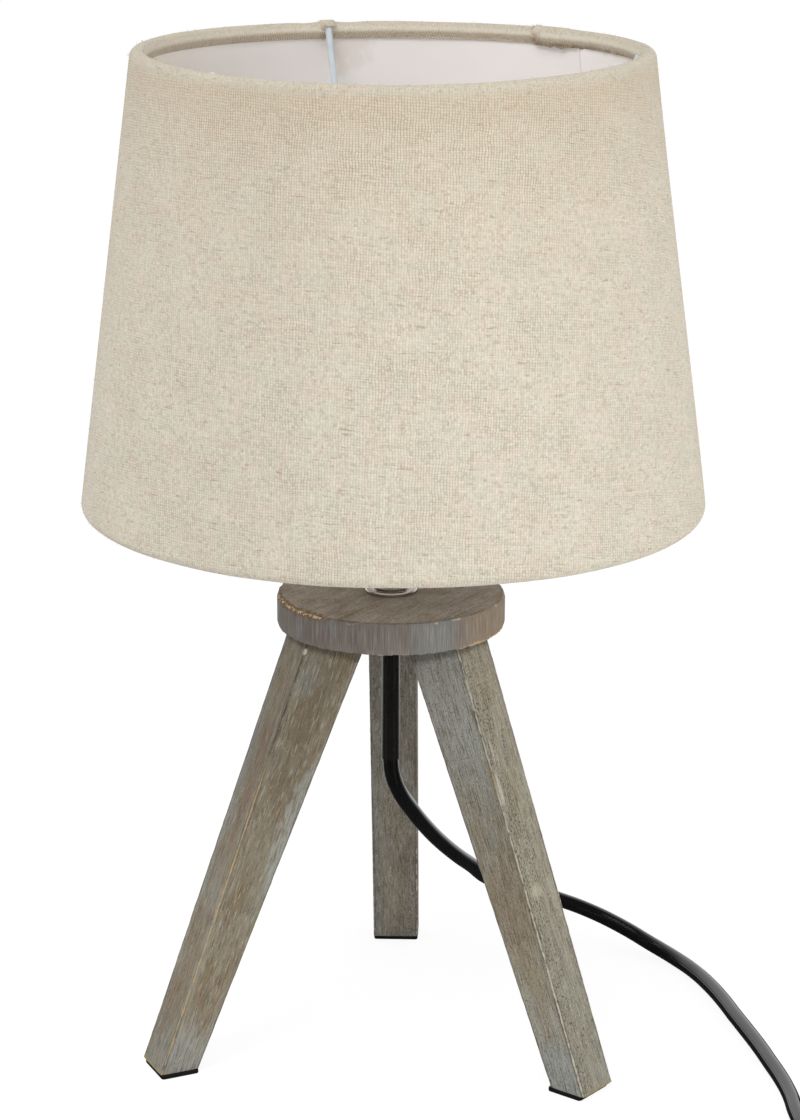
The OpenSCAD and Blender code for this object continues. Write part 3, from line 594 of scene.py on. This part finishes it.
LEG_LOOKS = {
    "leg_left": dict(
        bearing=205, seed=0, gold=0.7, dark_above=102, side_flecks=0.35, outer_flecks=0.35,
        outer=((136, 122, 103), (140, 136, 123)), plus=((127, 113, 91), (134, 126, 108)),
        minus=((124, 114, 100), (130, 128, 120)),
        patches=(
            # painted shade: the side darker on the upper half of the leg
            ((-6, 7.6, 116), (9, 2, 36), 0.4, (102, 96, 82)),
            ((-6, 7.6, 5), (9, 2, 14), 0.55, (148, 152, 149)),
            ((-16, 7.6, 78), (4.5, 2, 26), 0.8, (152, 155, 148)),
            ((0, -7, 100), (2, 3, 60), 0.7, (150, 151, 146)),
            ((0, 2, 100), (2, 3.5, 24), 0.45, (126, 98, 78)),
            ((0, 0, 128), (2, 8, 16), 0.45, (162, 152, 132)),
            ((-4, 7.6, 131), (3.5, 2, 7), 0.5, (128, 131, 128))),
        spots=(((-0.3, 7.3, 138.5), (0.7, 0.8, 0.9), 0.8, (206, 204, 190)),)),
    "leg_right": dict(
        bearing=321, seed=40, gold=0.34, dark_above=300, side_flecks=0.5, outer_flecks=0.9,
        outer=((148, 140, 121), (156, 151, 135)), plus=((140, 130, 114), (140, 136, 126)),
        minus=((152, 143, 123), (157, 153, 140)),
        patches=(
            ((-7, -7.6, 62), (9, 1.5, 18), 0.6, (142, 126, 104)),
            # painted light: the side paler at its top, under the plate
            ((-10, -7.6, 128), (14, 1.5, 30), 0.8, (174, 175, 168)),
            ((-6, -7.6, 96), (5, 1.5, 14), 0.35, (148, 148, 139)),
            ((-7, -7.6, 6), (9, 1.5, 14), 0.6, (150, 156, 155)),
            ((0, 0, 22), (2, 9, 34), 0.45, (136, 138, 127))),
        spots=(
            ((-0.2, -7.5, 101), (0.7, 0.7, 5), 0.5, (150, 122, 82)),
            ((0, -6, 97), (1.2, 0.9, 5), 0.6, (192, 189, 175)),
            ((0, -4.8, 109), (1.2, 0.5, 4), 0.45, (192, 188, 172)),
            ((0, -3.2, 106), (1.2, 0.4, 3), 0.4, (192, 188, 172)),
            ((0, -2.4, 64), (1.2, 2.6, 2.2), 0.45, (188, 183, 166)))),
    "leg_back": dict(
        bearing=88, seed=80, gold=0.4, dark_above=60, side_flecks=0.6, outer_flecks=0.3,
        outer=((132, 120, 104), (134, 130, 121)), plus=((126, 119, 107), (130, 127, 119)),
        minus=((126, 119, 107), (130, 127, 119)), spots=(),
        patches=(
            # painted shade: the leg darker at its top, under the plate
            ((-20, 0, 120), (9, 12, 40), 0.35, (100, 94, 84)),
            ((-12, 0, 30), (9, 9, 36), 0.5, (148, 140, 123)),
            ((-12, 7, 40), (9, 2.5, 60), 0.5, (126, 132, 132))))}


def side_view(node, bearing):
    """A leg's sizes seen square to its bearing: inner and outer radius at top and foot, levels, width."""
    turned = Matrix.Rotation(-bearing, 3, "Z")
    points = [turned @ v.co for v in NODES[node].data.vertices]
    low, high = min(p.z for p in points), max(p.z for p in points)
    top = [p.x for p in points if p.z > high - 0.01 * MM]
    foot = [p.x for p in points if p.z < low + 0.01 * MM]
    width = max(p.y for p in points) - min(p.y for p in points)
    return {"top": (min(top), max(top)), "foot": (min(foot), max(foot)), "low": low, "high": high,
            "width": width}


def leg_wood(name, view, bearing, look):
    """Wood that runs along one leg: its coordinates turn to the bearing and then to the leg's slope."""
    f = Finish(name)
    lean = atan2(view["foot"][1] - view["top"][1], view["high"] - view["low"])
    turned = f.mapped(f.where(), turn=(0, 0, -bearing))
    moved = f.vector("SUBTRACT", turned, (view["foot"][1] / MM, 0, view["low"] / MM))
    vector = f.mapped(moved, turn=(0, lean, 0))
    look["depth"] = [(view[end][1] - view[end][0]) / MM * cos(lean) for end in ("foot", "top")]
    look["length"] = (view["high"] - view["low"]) / MM / cos(lean)
    return washed_wood(f, vector, view, look)


def leg(node, seed, look):
    """A leg: a block tapered to the foot, its long edges eased and then worn uneven."""
    bearing = radians(look["bearing"])
    view = side_view(node, bearing)
    finish = leg_wood("wood_" + node, view, bearing, look)
    height = view["high"] - view["low"]
    foot_mid, top_mid = (sum(view[end]) / 2 for end in ("foot", "top"))
    foot_depth, top_depth = (view[end][1] - view[end][0] for end in ("foot", "top"))
    bpy.ops.mesh.primitive_cube_add(size=1, location=(foot_mid, 0, view["low"] + height / 2))
    piece = bpy.context.object
    piece.scale = (foot_depth, view["width"], height)
    bpy.ops.object.transform_apply()
    edit(piece)
    pick("FACE", lambda at, out: out.z > 0.9)
    bpy.ops.transform.resize(value=(top_depth / foot_depth, 1, 1),
                             center_override=(foot_mid, 0, view["high"]))
    bpy.ops.transform.translate(value=(top_mid - foot_mid, 0, 0))

    def upright(a, b):
        return abs(a.z - b.z) > height / 2

    pick("EDGE", upright)
    bpy.ops.mesh.bevel(offset=0.4 * MM, segments=3, affect="EDGES")
    pick("EDGE", upright)
    bpy.ops.mesh.subdivide(number_cuts=110)
    pick("EDGE", lambda a, b: abs(a.z - b.z) < 0.5 * MM and (a - b).length > 6 * MM)
    bpy.ops.mesh.subdivide(number_cuts=8)
    leave()
    half = view["width"] / 2
    edges = piece.vertex_groups.new(name="long_edges")
    for vert in piece.data.vertices:
        share = (vert.co.z - view["low"]) / height
        from_face = min(abs(vert.co.x - foot - (top - foot) * share)
                        for foot, top in zip(view["foot"], view["top"]))
        if from_face < 1 * MM and half - abs(vert.co.y) < 1 * MM:
            edges.add([vert.index], 1, "REPLACE")
    uneven(piece, 0.02, 0.08 * MM, seed)
    uneven(piece, 0.003, 0.25 * MM, seed + 5, "long_edges")
    smooth(piece, 40)
    return place(piece, node.replace("leg", "wood_leg"), finish, node, slot="washed_wood", turn=bearing)


def plate_wood():
    """The plate: saw marks run slantwise over its top, and end grain streaks cross its side."""
    low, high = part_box("base_disc")
    low, high = low / MM, high / MM
    f = Finish("plate_wood")
    at = f.where()
    x, y, z = f.split(at)
    degrees = f.bearing()
    on_top = f.step(z, high.z - 0.5, high.z - 0.15)
    # top: marks of the saw, slantwise, over grey and brown patches
    slant = f.mapped(at, turn=(0, 0, radians(-58)))
    bent = f.vector("ADD", slant, f.scaled(f.noise(at, 26, 1, kind=1), 3.5))
    marks = f.streaks(bent, 15, 0.9, 3, 2, 3)
    marks_wide = f.streaks(bent, 24, 3.4, 5, 6, 3)
    patches = f.noise(at, 9, 4, 0.6)
    grit = f.noise(at, 0.6, 2, 0.6)
    sawn = f.span(f.noise(at, 10), 0.4, 0.6, 0.35, 1)
    f.colour = f.mix(f.step(patches, 0.38, 0.66), (182, 172, 156), (162, 147, 128))
    f.coat(f.step(marks_wide, 0.48, 0.66) * 0.3, (112, 96, 78))
    f.coat(f.step(marks, 0.5, 0.62) * sawn * 0.36, (92, 81, 68))
    f.coat(f.step(marks, 0.45, 0.34) * sawn * 0.4, (196, 188, 172))
    f.coat(f.span(grit, 0.45, 0.68, 0, 0.45), (92, 82, 68))
    f.coat(f.span(grit, 0.5, 0.34, 0, 0.3), (190, 182, 166))
    f.coat(f.step(x, -14, 34) * 0.36, (96, 86, 74))
    top = f.colour
    # side: lines across its thickness, purple grey, bluish here and there, brown at the right
    around = f.add("CombineXYZ", degrees * radians(high.x), z)
    lines = f.streaks(around, 0.36, 8, 1, 4, 3)
    lines_wide = f.streaks(around, 2.2, 16, 1, 8, 3)
    bluish = f.noise(around, 7, 3)
    left_end = f.window(degrees, -182, -164, 5)
    middle = f.window(degrees, -80, -58, 6)
    f.colour = f.mix(f.step(lines_wide, 0.4, 0.65), (129, 122, 115), (119, 110, 103))
    blue_share = f.most(f.most(left_end, middle), f.step(bluish, 0.58, 0.7))
    f.coat(blue_share * 0.6, (130, 134, 132))
    right_end = f.window(degrees, -50, 0, 9)
    specks = f.noise(around, 0.7, 3, 0.7)
    f.coat(right_end * f.span(specks, 0.35, 0.65, 0.3, 0.9), (146, 126, 100))
    f.coat(f.span(lines, 0.4, 0.65, 0, 0.4), (80, 72, 64))
    f.coat(f.step(lines, 0.46, 0.34) * 0.28, (160, 155, 146))
    f.coat(on_top, top)
    # worn rims: golden at the left of the upper one and the right of the lower one
    from_wall = high.x - f.radius()
    from_top = f.most(from_wall, high.z - z)
    from_low = f.most(from_wall, z - low.z)
    ragged = f.noise(at, 1.6, 4, 0.7)
    gold_top = f.window(degrees, -178, -124, 7)
    gold_low = f.window(degrees, -52, -8, 9)
    slow = f.noise(at, 4, 3)
    reach = f.span(ragged, 0.32, 0.62, 0.3, 1) * f.span(gold_top, 0, 1, 0.7, 2.6)
    rubbed = f.step(reach - from_top, 0, 0.5)
    f.coat(rubbed * f.span(gold_top, 0, 1, 0.5, 0.75), f.mix(gold_top, (100, 84, 66), (122, 96, 66)))
    worn = f.noise(at, 1.1, 3, 0.7)
    core = f.step(f.span(worn, 0.36, 0.62, 0.15, 1.35) - from_top, 0, 0.3)
    light_share = f.most(gold_top, f.step(slow, 0.54, 0.62) * 0.6)
    bare = f.mix(f.step(worn, 0.46, 0.6), (182, 146, 100), (222, 200, 160))
    f.coat(core * light_share * 0.9, bare)
    dashes = f.window(degrees, -116, -52, 8) * f.step(slow, 0.52, 0.44)
    dashed = dashes * f.step(f.span(worn, 0.35, 0.6, 0.2, 1.6) - from_wall, 0, 0.3)
    f.coat(dashed * on_top * 0.6, (78, 62, 48))
    chip = f.window(degrees, -59, -54, 1) * f.step(from_top, 1, 0.5)
    f.coat(chip * f.step(worn, 0.4, 0.5), (196, 186, 164))
    low_reach = f.span(ragged, 0.35, 0.7, 0.15, 1) * f.span(gold_low, 0, 1, 0.9, 2.2)
    low_rubbed = f.step(low_reach - from_low, 0, 0.25)
    f.coat(low_rubbed * 0.7, f.mix(gold_low, (168, 158, 136), (186, 158, 112)))
    relief = f.mix(on_top, lines, marks)
    f.set(Base_Color=f.colour, Roughness=0.8, Specular_IOR_Level=0.3)
    return f.bump(relief, 0.16, 0.6)


def plate():
    """The round plate: turned, bored for the tube, with a worn and chipped rim."""
    low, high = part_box("base_disc")
    bore = 5.05 * MM
    bpy.ops.mesh.primitive_cylinder_add(vertices=360, radius=high.x, depth=high.z - low.z,
                                        location=(0, 0, (low.z + high.z) / 2))
    piece = bpy.context.object
    bpy.ops.object.transform_apply()
    edit(piece)
    pick("EDGE", lambda a, b: abs(a.z - b.z) < 0.1 * MM)
    bpy.ops.mesh.bevel(offset=0.6 * MM, segments=4, affect="EDGES")
    pick("EDGE", lambda a, b: abs(a.z - b.z) > 2 * MM)
    bpy.ops.mesh.subdivide(number_cuts=8)

    def middle(at, out):
        return abs(out.z) > 0.99 and at.xy.length < 1 * MM

    for inset in (0.5, 1, 9, high.x / MM - 0.6 - 10.5 - bore / MM):
        pick("FACE", middle)
        bpy.ops.mesh.inset(thickness=inset * MM)
    pick("FACE", middle)
    bpy.ops.mesh.bridge_edge_loops()
    leave()
    rim = piece.vertex_groups.new(name="rim")
    rim.add([v.index for v in piece.data.vertices if high.x - v.co.xy.length < 1.2 * MM
             and min(high.z - v.co.z, v.co.z - low.z) < 1.2 * MM], 1, "REPLACE")
    uneven(piece, 0.012, 0.25 * MM, 29, "rim")
    uneven(piece, 0.002, 0.7 * MM, 31, "rim")
    smooth(piece, 40)
    return place(piece, "wood_plate", plate_wood(), "base_disc", "leg_dowels", slot="washed_wood")


# ---------- shade ----------

SEAM, LINING_SEAM, BACK_STRUT = 52, 38, 106    # bearings in degrees
LOW_FRONT, GRAIN_FRONT = radians(266), radians(263)
DIP_FROM, DIP_TO = 0.286, 0.304                 # levels between which the rim's dip grows
HAIR_R = 0.045 * MM


def wire_ring(node):
    """A wire ring's centre line, as (radius, level), and the wire's radius."""
    low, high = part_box(node)
    wire_r = (high.z - low.z) / 2
    return Vector((high.x - wire_r, (low.z + high.z) / 2)), wire_r


def arc(centre, radius, start, stop, steps):
    """Points of an arc in (radius, level), angles in degrees from straight outwards."""
    return [centre + radius * Vector((cos(t), sin(t)))
            for t in (radians(start + (stop - start) * i / steps) for i in range(steps + 1))]


class Cone:
    """The shade's cone: its wires, and the flat cut that it is rolled from."""

    def __init__(self):
        self.top, self.wire_r = wire_ring("shade_top_wire")
        self.bottom, _ = wire_ring("shade_bottom_wire")
        self.roll_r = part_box("shade_fabric")[1].z - self.top.y
        slope = self.top - self.bottom
        self.slant = slope.length
        self.out = Vector((slope.y, -slope.x)).normalized()
        self.tip = degrees(atan2(self.out.y, self.out.x))
        self.narrowing = -slope.x / self.slant
        self.top_reach = self.top.x / self.narrowing

    def line(self, offset, parts, low=None, high=None):
        """The wall at an offset from the line between the wires, from the bottom up or between two levels."""
        ends = [0, 1]
        if low is not None:
            rise = self.top.y - self.bottom.y
            ends = [(level - self.bottom.y - self.out.y * offset) / rise for level in (low, high)]
        shares = [ends[0] + (ends[1] - ends[0]) * i / parts for i in range(parts + 1)]
        return [self.bottom.lerp(self.top, share) + self.out * offset for share in shares]

    def cloth(self):
        """The cloth's section: rolled under the bottom wire, up the outside, over the top wire, and back. Its
        tail comes straight down from the top roll onto the lining."""
        inside = self.wire_r + 0.05 * MM
        outer = arc(self.bottom, self.roll_r, 66, 360 + self.tip, 30)
        outer += self.line(self.roll_r, 36)[1:-1] + arc(self.top, self.roll_r, self.tip, 192, 26)
        tail = self.top - Vector((1.58 * MM, 2.62 * MM))
        outer += [outer[-1].lerp(tail, share / 5) for share in range(1, 6)]
        inner = arc(self.top, inside, 246, self.tip, 14)
        inner += self.line(inside, 6)[::-1][1:-1] + arc(self.bottom, inside, 360 + self.tip, 66, 16)
        return outer + inner

    def facing(self, point):
        """The way that a rolled sheet faces at a point of its section."""
        for wire in (self.top, self.bottom):
            if (point - wire).length < self.roll_r + 0.5 * MM:
                return (point - wire).normalized()
        return self.out


def bearings(start, turn, steps, fine_at=None):
    """Angles from start on, closer together round one of them."""
    angles = [start + turn * i / steps for i in range(steps + 1)]
    if fine_at is not None:
        near = [fine_at + radians(0.2 * i) for i in range(-16, 17)]
        angles = [a for a in angles if not near[0] - 0.003 < a < near[-1] + 0.003] + near
    return sorted(angles)


def swept(section, angles, cone, shape):
    """A closed section swept round the shade's axis, its two ends capped. Its UV map holds the place on the
    flat cut."""
    run = [0]
    for a, b in zip(section, section[1:]):
        run.append(run[-1] + (b - a).length)
    facing = [cone.facing(point) for point in section]
    count = len(section)
    verts, faces, spots = [], [], []
    steps = len(angles) - 1
    for angle in angles:
        for point, out, along in zip(section, facing, run):
            radius, level = shape(angle, point, out, along)
            verts.append((radius * cos(angle), radius * sin(angle), level))
    reach = cone.top_reach + cone.slant + cone.roll_r * pi * 1.5

    def lay(column, along):
        fan = (angles[column] - GRAIN_FRONT) * cone.narrowing
        spots.extend(((reach - along) * sin(fan), (along - reach) * cos(fan)))

    for i in range(steps):
        for j in range(count):
            corners = ((i, j), (i + 1, j), (i + 1, (j + 1) % count), (i, (j + 1) % count))
            faces.append([c * count + r for c, r in corners])
            for c, r in corners:
                lay(c, run[r] if r or j < count - 1 else run[-1])
    for i in (0, steps):
        faces.append([i * count + r for r in range(count)][::-1 if i else 1])
        for corner in faces[-1]:
            lay(i, run[corner - i * count])
    mesh = bpy.data.meshes.new("sheet")
    mesh.from_pydata(verts, [], faces)
    mesh.uv_layers.new(name="cut").data.foreach_set("uv", spots)
    mesh.update()
    piece = linked("sheet", mesh)
    edit(piece, "SELECT")
    bpy.ops.mesh.normals_make_consistent(inside=False)
    leave()
    smooth(piece, 50)
    return piece


def ease(value, low, high):
    """0 below low, 1 above high, smooth between them."""
    share = min(1, max(0, (value - low) / (high - low)))
    return share * share * (3 - 2 * share)


def bell(value, middle, width):
    return exp(-((value - middle) / width) ** 2)


def front_dip(angle, level):
    """How far the top rim hangs lower at the front, as the photograph shows it."""
    front = max(0, cos(angle - LOW_FRONT))
    return RIM_DIP * MM * front * front * ease(level, DIP_FROM, DIP_TO)


def dipped(node, finish):
    """A wire of the shade, lowered at the front with the rim."""
    piece = eased(node, 0.15)
    for vert in piece.data.vertices:
        vert.co.z -= front_dip(atan2(vert.co.y, vert.co.x), vert.co.z)
    return place(piece, node + "_bent", finish, node, body="shade")


def cloth_shape(cone, start, turn):
    """How the rolled cloth departs from a true cone: slow waves, a lift over the strut that shows at the
    back, and the step where its last part laps over its first."""
    lap = radians(9)
    thick = cone.roll_r - cone.wire_r
    end = start + turn
    strut = radians(BACK_STRUT)
    chance = random.Random(7)
    ragged = [chance.uniform(-1, 1) for _ in range(64)]

    def shape(angle, point, out, along):
        wave = sin(3 * angle + 0.6) + 0.6 * sin(7 * angle + 2.1) + 0.4 * sin(17 * angle)
        near_top = ease(point.y, cone.top.y - 6 * MM, cone.top.y - 2 * MM)
        lift = 0.07 * MM * wave
        inward = max(0, -out.x)
        over = near_top * ease(out.y, 0.2, 0.8)
        lift += thick * (0.55 - 0.35 * over) * ease(angle, end - lap * 1.1, end - lap)
        lift += near_top * inward * 0.9 * MM * ease(angle, end - lap * 2.4, end - lap * 0.9)
        round_strut = abs((angle - strut + pi) % (2 * pi) - pi)
        cover = (1 - ease(round_strut, 0.019, 0.046)) * near_top * ease(out.y, 0.1, 0.42)
        lift += cover * (0.55 + 0.95 * ease(inward, 0.15, 0.65)) * MM
        lift -= over * 0.3 * MM * bell(round_strut, 0.1, 0.05)
        right = max(0, cos(angle)) * ease(point.y, cone.top.y - 10 * MM, cone.bottom.y)
        lift += 1.1 * MM * right * ease(out.x, -0.6, 0.6)
        place_at = point + out * lift
        fray = 0.35 * MM * ragged[int(along / (1.2 * MM)) % 64] * ease(angle, end - 0.01, end)
        if inward > 0.5 and point.y < cone.top.y - 2 * MM and point.y > cone.top.y - 4 * MM:
            worst = bell(angle % (2 * pi), 0.55, 0.35)
            fray += 0.28 * MM * ragged[int(angle * 40) % 64] * (1 + 1.2 * worst)
        return place_at.x, place_at.y + fray - front_dip(angle, place_at.y)
    return shape


def fibres(name, spots, seed, length, finish):
    """Loose ends of the flax: short bent hairs that stand out of the cloth at the given places."""
    chance = random.Random(seed)
    curve = bpy.data.curves.new(name, "CURVE")
    curve.dimensions = "3D"
    curve.bevel_depth = HAIR_R
    curve.bevel_resolution = 0
    for root, out in spots:
        bend = Vector([chance.gauss(0, 0.7) for _ in range(3)])
        sag = Vector([chance.gauss(0, 0.5) for _ in range(3)])
        reach = length * chance.uniform(0.4, 1.3)
        spline = curve.splines.new("POLY")
        spline.points.add(4)
        for i, knot in enumerate(spline.points):
            t = i / 4
            at = root + (out + bend * t + sag * t * t).normalized() * (reach * t) - out * (0.1 * MM)
            knot.co = (*at, 1)
            knot.radius = 1.1 - 0.6 * t
    only(linked(name, curve))
    bpy.ops.object.convert(target="MESH")
    return place(bpy.context.object, name, finish, body="shade")


def loose_ends(cone, finish):
    """Hairs all round both rolls, on the wall, and thick where the cloth is cut: the notch and the lap."""
    chance = random.Random(3)

    def spot(wire, degrees, bearing):
        t, b = radians(degrees), radians(bearing)
        out = Vector((cos(t) * cos(b), cos(t) * sin(b), sin(t)))
        centre = Vector((wire.x * cos(b), wire.x * sin(b), wire.y))
        root = centre + out * cone.roll_r
        root.z -= front_dip(b, root.z)
        return root, out

    rolls = [spot(cone.top, chance.uniform(-20, 210), chance.uniform(0, 360)) for _ in range(420)]
    rolls += [spot(cone.bottom, chance.uniform(-150, 20), chance.uniform(0, 360)) for _ in range(420)]
    fibres("loose_rim_hairs", rolls, 5, 0.9 * MM, finish)
    wall = []
    for _ in range(700):
        bearing = chance.uniform(0, 2 * pi)
        at = cone.bottom.lerp(cone.top, chance.random()) + cone.out * cone.roll_r
        at.y -= front_dip(bearing, at.y)
        out = Vector((cone.out.x * cos(bearing), cone.out.x * sin(bearing), cone.out.y))
        wall.append((Vector((at.x * cos(bearing), at.x * sin(bearing), at.y)), out))
    fibres("loose_wall_hairs", wall, 6, 0.6 * MM, finish)
    notch = [spot(cone.top, chance.uniform(100, 250),
                  BACK_STRUT + chance.choice((-1, 1)) * chance.uniform(0.9, 2)) for _ in range(46)]
    lap = [spot(cone.top, chance.uniform(60, 290), SEAM + chance.uniform(-1, 1.6)) for _ in range(60)]
    lap += [spot(cone.top, chance.uniform(240, 300), SEAM - chance.uniform(0, 14)) for _ in range(40)]
    fibres("frayed_ends", notch + lap, 8, 1.3 * MM, finish)


def shade_cloth(cone, finish):
    """The linen: rolled round both wires and lapped over itself at the back right."""
    start, turn = radians(SEAM - 9), radians(369)
    angles = bearings(start, turn, 300, radians(BACK_STRUT))
    piece = swept(cone.cloth(), angles, cone, cloth_shape(cone, start, turn))
    place(piece, "shade_linen", finish, "shade_fabric", body="shade")


def shade_lining(cone, finish):
    """The stiff lining inside the cloth, lapped at its own seam."""
    low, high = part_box("shade_liner")
    near, far = -1.05 * MM, -1.45 * MM
    wall = cone.line(near, 40, low.z, high.z)
    back = cone.line(far, 40, low.z, high.z)
    start, turn = radians(LINING_SEAM - 2.5), radians(362.5)

    def shape(angle, point, out, along):
        shift = -0.42 * MM * ease(angle, start + turn - radians(3), start + turn - radians(2.2))
        wave = 0.06 * MM * (sin(4 * angle + 1) + sin(9 * angle) * 0.5)
        return point.x + shift + wave, point.y - front_dip(angle, point.y)

    piece = swept(wall + back[::-1], bearings(start, turn, 220), cone, shape)
    place(piece, "shade_lining", finish, "shade_liner", body="shade")


# ---------- stage ----------

WHITE = (1, 1, 1, 1)
FLOOR_GREY = (0.86, 0.86, 0.86, 1)
FLOOR_GLOW, SKY_GLOW = 1.06, 0.75


def emptied(owner):
    """The node tree of a material or world, cleared, with what tells camera rays and mirrored rays."""
    owner.use_nodes = True
    owner.node_tree.nodes.clear()
    tree = Nodes(owner.node_tree)
    return tree, tree.add("LightPath", out="Is Camera Ray"), tree.add("LightPath", out="Is Glossy Ray")


def stage():
    """A pale floor, soft even light, and a white ground behind."""
    scene = bpy.context.scene
    scene.view_settings.view_transform = "Standard"
    bpy.ops.mesh.primitive_plane_add(size=14, location=(0, 2, 0))
    floor = bpy.context.object
    floor.name = "floor"
    paint = bpy.data.materials.new("floor_paint")
    floor.data.materials.append(paint)
    f, seen, mirrored = emptied(paint)
    # what shines mirrors a floor that is bright only behind the lamp
    behind = f.span(f.split(f.add("NewGeometry"))[1], 0.08, 0.38, 0.04, 1.2)
    glow = f.add("Emission", WHITE, f.blend(mirrored, FLOOR_GLOW, behind))
    share = f.math("MULTIPLY_ADD", seen, 0.86, mirrored)
    f.add("OutputMaterial", f.add("MixShader", share, f.add("BsdfDiffuse", FLOOR_GREY), glow))
    lamp("key", (1.58, -0.8, 0.2), 0.5, 13)
    lamp("top", (-0.42, -0.6, 1.25), 0.6, 8)
    # white behind the lamp and soft light all round; what shines mirrors a dark room on the camera's side
    scene.world = bpy.data.worlds.new("studio")
    f, seen, mirrored = emptied(scene.world)
    room = f.span(f.split(f.add("TexCoord"))[1], 0.1, 0.8, 0.05, 1.2)
    lit = f.blend(mirrored, SKY_GLOW, room)
    f.add("OutputWorld", f.add("Background", WHITE, f.blend(seen, lit, 1)))


def lamp(name, at, size, power):
    """A soft square light aimed at the lamp's middle. What shines doesn't mirror it."""
    light = bpy.data.lights.new(name, "AREA")
    light.size = size
    light.energy = power
    piece = linked(name, light)
    piece.visible_glossy = False
    piece.location = at
    piece.rotation_euler = (Vector((0, 0, 0.15)) - Vector(at)).to_track_quat("-Z", "Y").to_euler()


# ---------- the whole lamp ----------

def holder_and_bulb(cord_finish):
    bright = metal("nickel", (206, 201, 192), 0.1, (6, 6, 0.3), 0.0015, 0.06)
    dress("collar_washer", 0.55, "collar_washer_turned", bright, 4)
    dress("neck_collar", 0.25, "neck_collar_turned", bright)
    carry(metal("zinc_steel", (178, 178, 172), 0.3, dull=0.2), "threaded_tube", "tube_nut",
          "holder_lock_screw", "terminal_screws", "switch_screws", "bulb_contact")
    black = moulded("holder_black", (24, 24, 25), 0.3, 0.6)
    dress("holder_cap", 0.6, "holder_cap_moulded", black, 3)
    dress("holder_shell", 0.5, "holder_shell_moulded", black, 3)
    carry(moulded("holder_ceramic", (232, 228, 218), 0.45, 0.5), "holder_insert")
    carry(metal("brass", (196, 160, 84), 0.22), "screw_shell", "contact_centre", "contact_side",
          "switch_contacts")
    carry(moulded("lead_brown", (104, 62, 36), 0.45), "lead_brown")
    carry(moulded("lead_blue", (44, 92, 160), 0.45), "lead_blue", "switch_leads")
    carry(cord_finish, "cord_riser")
    carry(moulded("sleeve_black", (30, 28, 26), 0.24, 0.9, 0.02, 0.12, 0.6), "cord_sleeve")
    dress("shade_ring", 0.35, "clamp_ring_moulded", black, body="shade_ring")
    carry(opal(), "bulb_globe")
    carry(metal("cap_metal", (206, 204, 198), 0.24), "bulb_cap")
    carry(moulded("cap_glass", (20, 20, 24), 0.15), "bulb_insulator")


def switch_and_plug():
    """Gives the pieces that the plug's cord carries."""
    hard = moulded("switch_black", (34, 34, 35), 0.36, 0.35, 0.02, shine=0.6)
    dress("switch_lower", 0.8, "switch_lower_half", hard, 3)
    dress("switch_upper", 0.8, "switch_upper_half", hard, 3)
    dress("switch_rocker", 0.4, "switch_rocker_moulded",
          moulded("rocker_black", (44, 44, 46), 0.25, 0.5, shine=0.6), body="rocker")
    tie = dress("coil_tie", 0.15, "coil_tie_strap", moulded("tie_black", (36, 36, 36), 0.5))
    soft = moulded("plug_black", (34, 34, 35), 0.4, 0.35, 0.02, shine=0.6)
    plug = dress("plug_body", 0.5, "plug_body_moulded", soft, 2, 40)
    carry(metal("pin_metal", (204, 202, 196)), "plug_pins")
    carry(moulded("pin_sleeve", (34, 34, 35)), "plug_pin_sleeves")
    return [plug, NODES["plug_pins"], NODES["plug_pin_sleeves"], tie]


def main():
    camera()
    cord_finish = moulded("cord_black", (15, 15, 16), 0.1, 2.5, 0.002, 0.03, 0.7)
    lamp_cord, plug_cord = cords(cord_finish)
    cone = Cone()
    for seed, (node, look) in enumerate(LEG_LOOKS.items()):
        leg(node, seed + 1, look)
    plate()
    rubber = moulded("foot_rubber", (26, 26, 26), 0.6, 0.4, 0.02)
    for side in ("left", "right", "back"):
        dress("foot_pad_" + side, 0.25, "rubber_pad_" + side, rubber)
    flax = linen()
    shade_cloth(cone, flax)
    loose_ends(cone, flax)
    shade_lining(cone, lining())
    wire = painted_wire("white_wire", (198, 206, 210))
    carry(wire, "shade_bottom_wire")
    dipped("shade_top_wire", wire)
    dipped("shade_struts", wire)
    dress("shade_fitter", 0.3, "shade_fitter_ring", wire, body="shade")
    holder_and_bulb(cord_finish)
    carried = switch_and_plug()
    stage()


main()
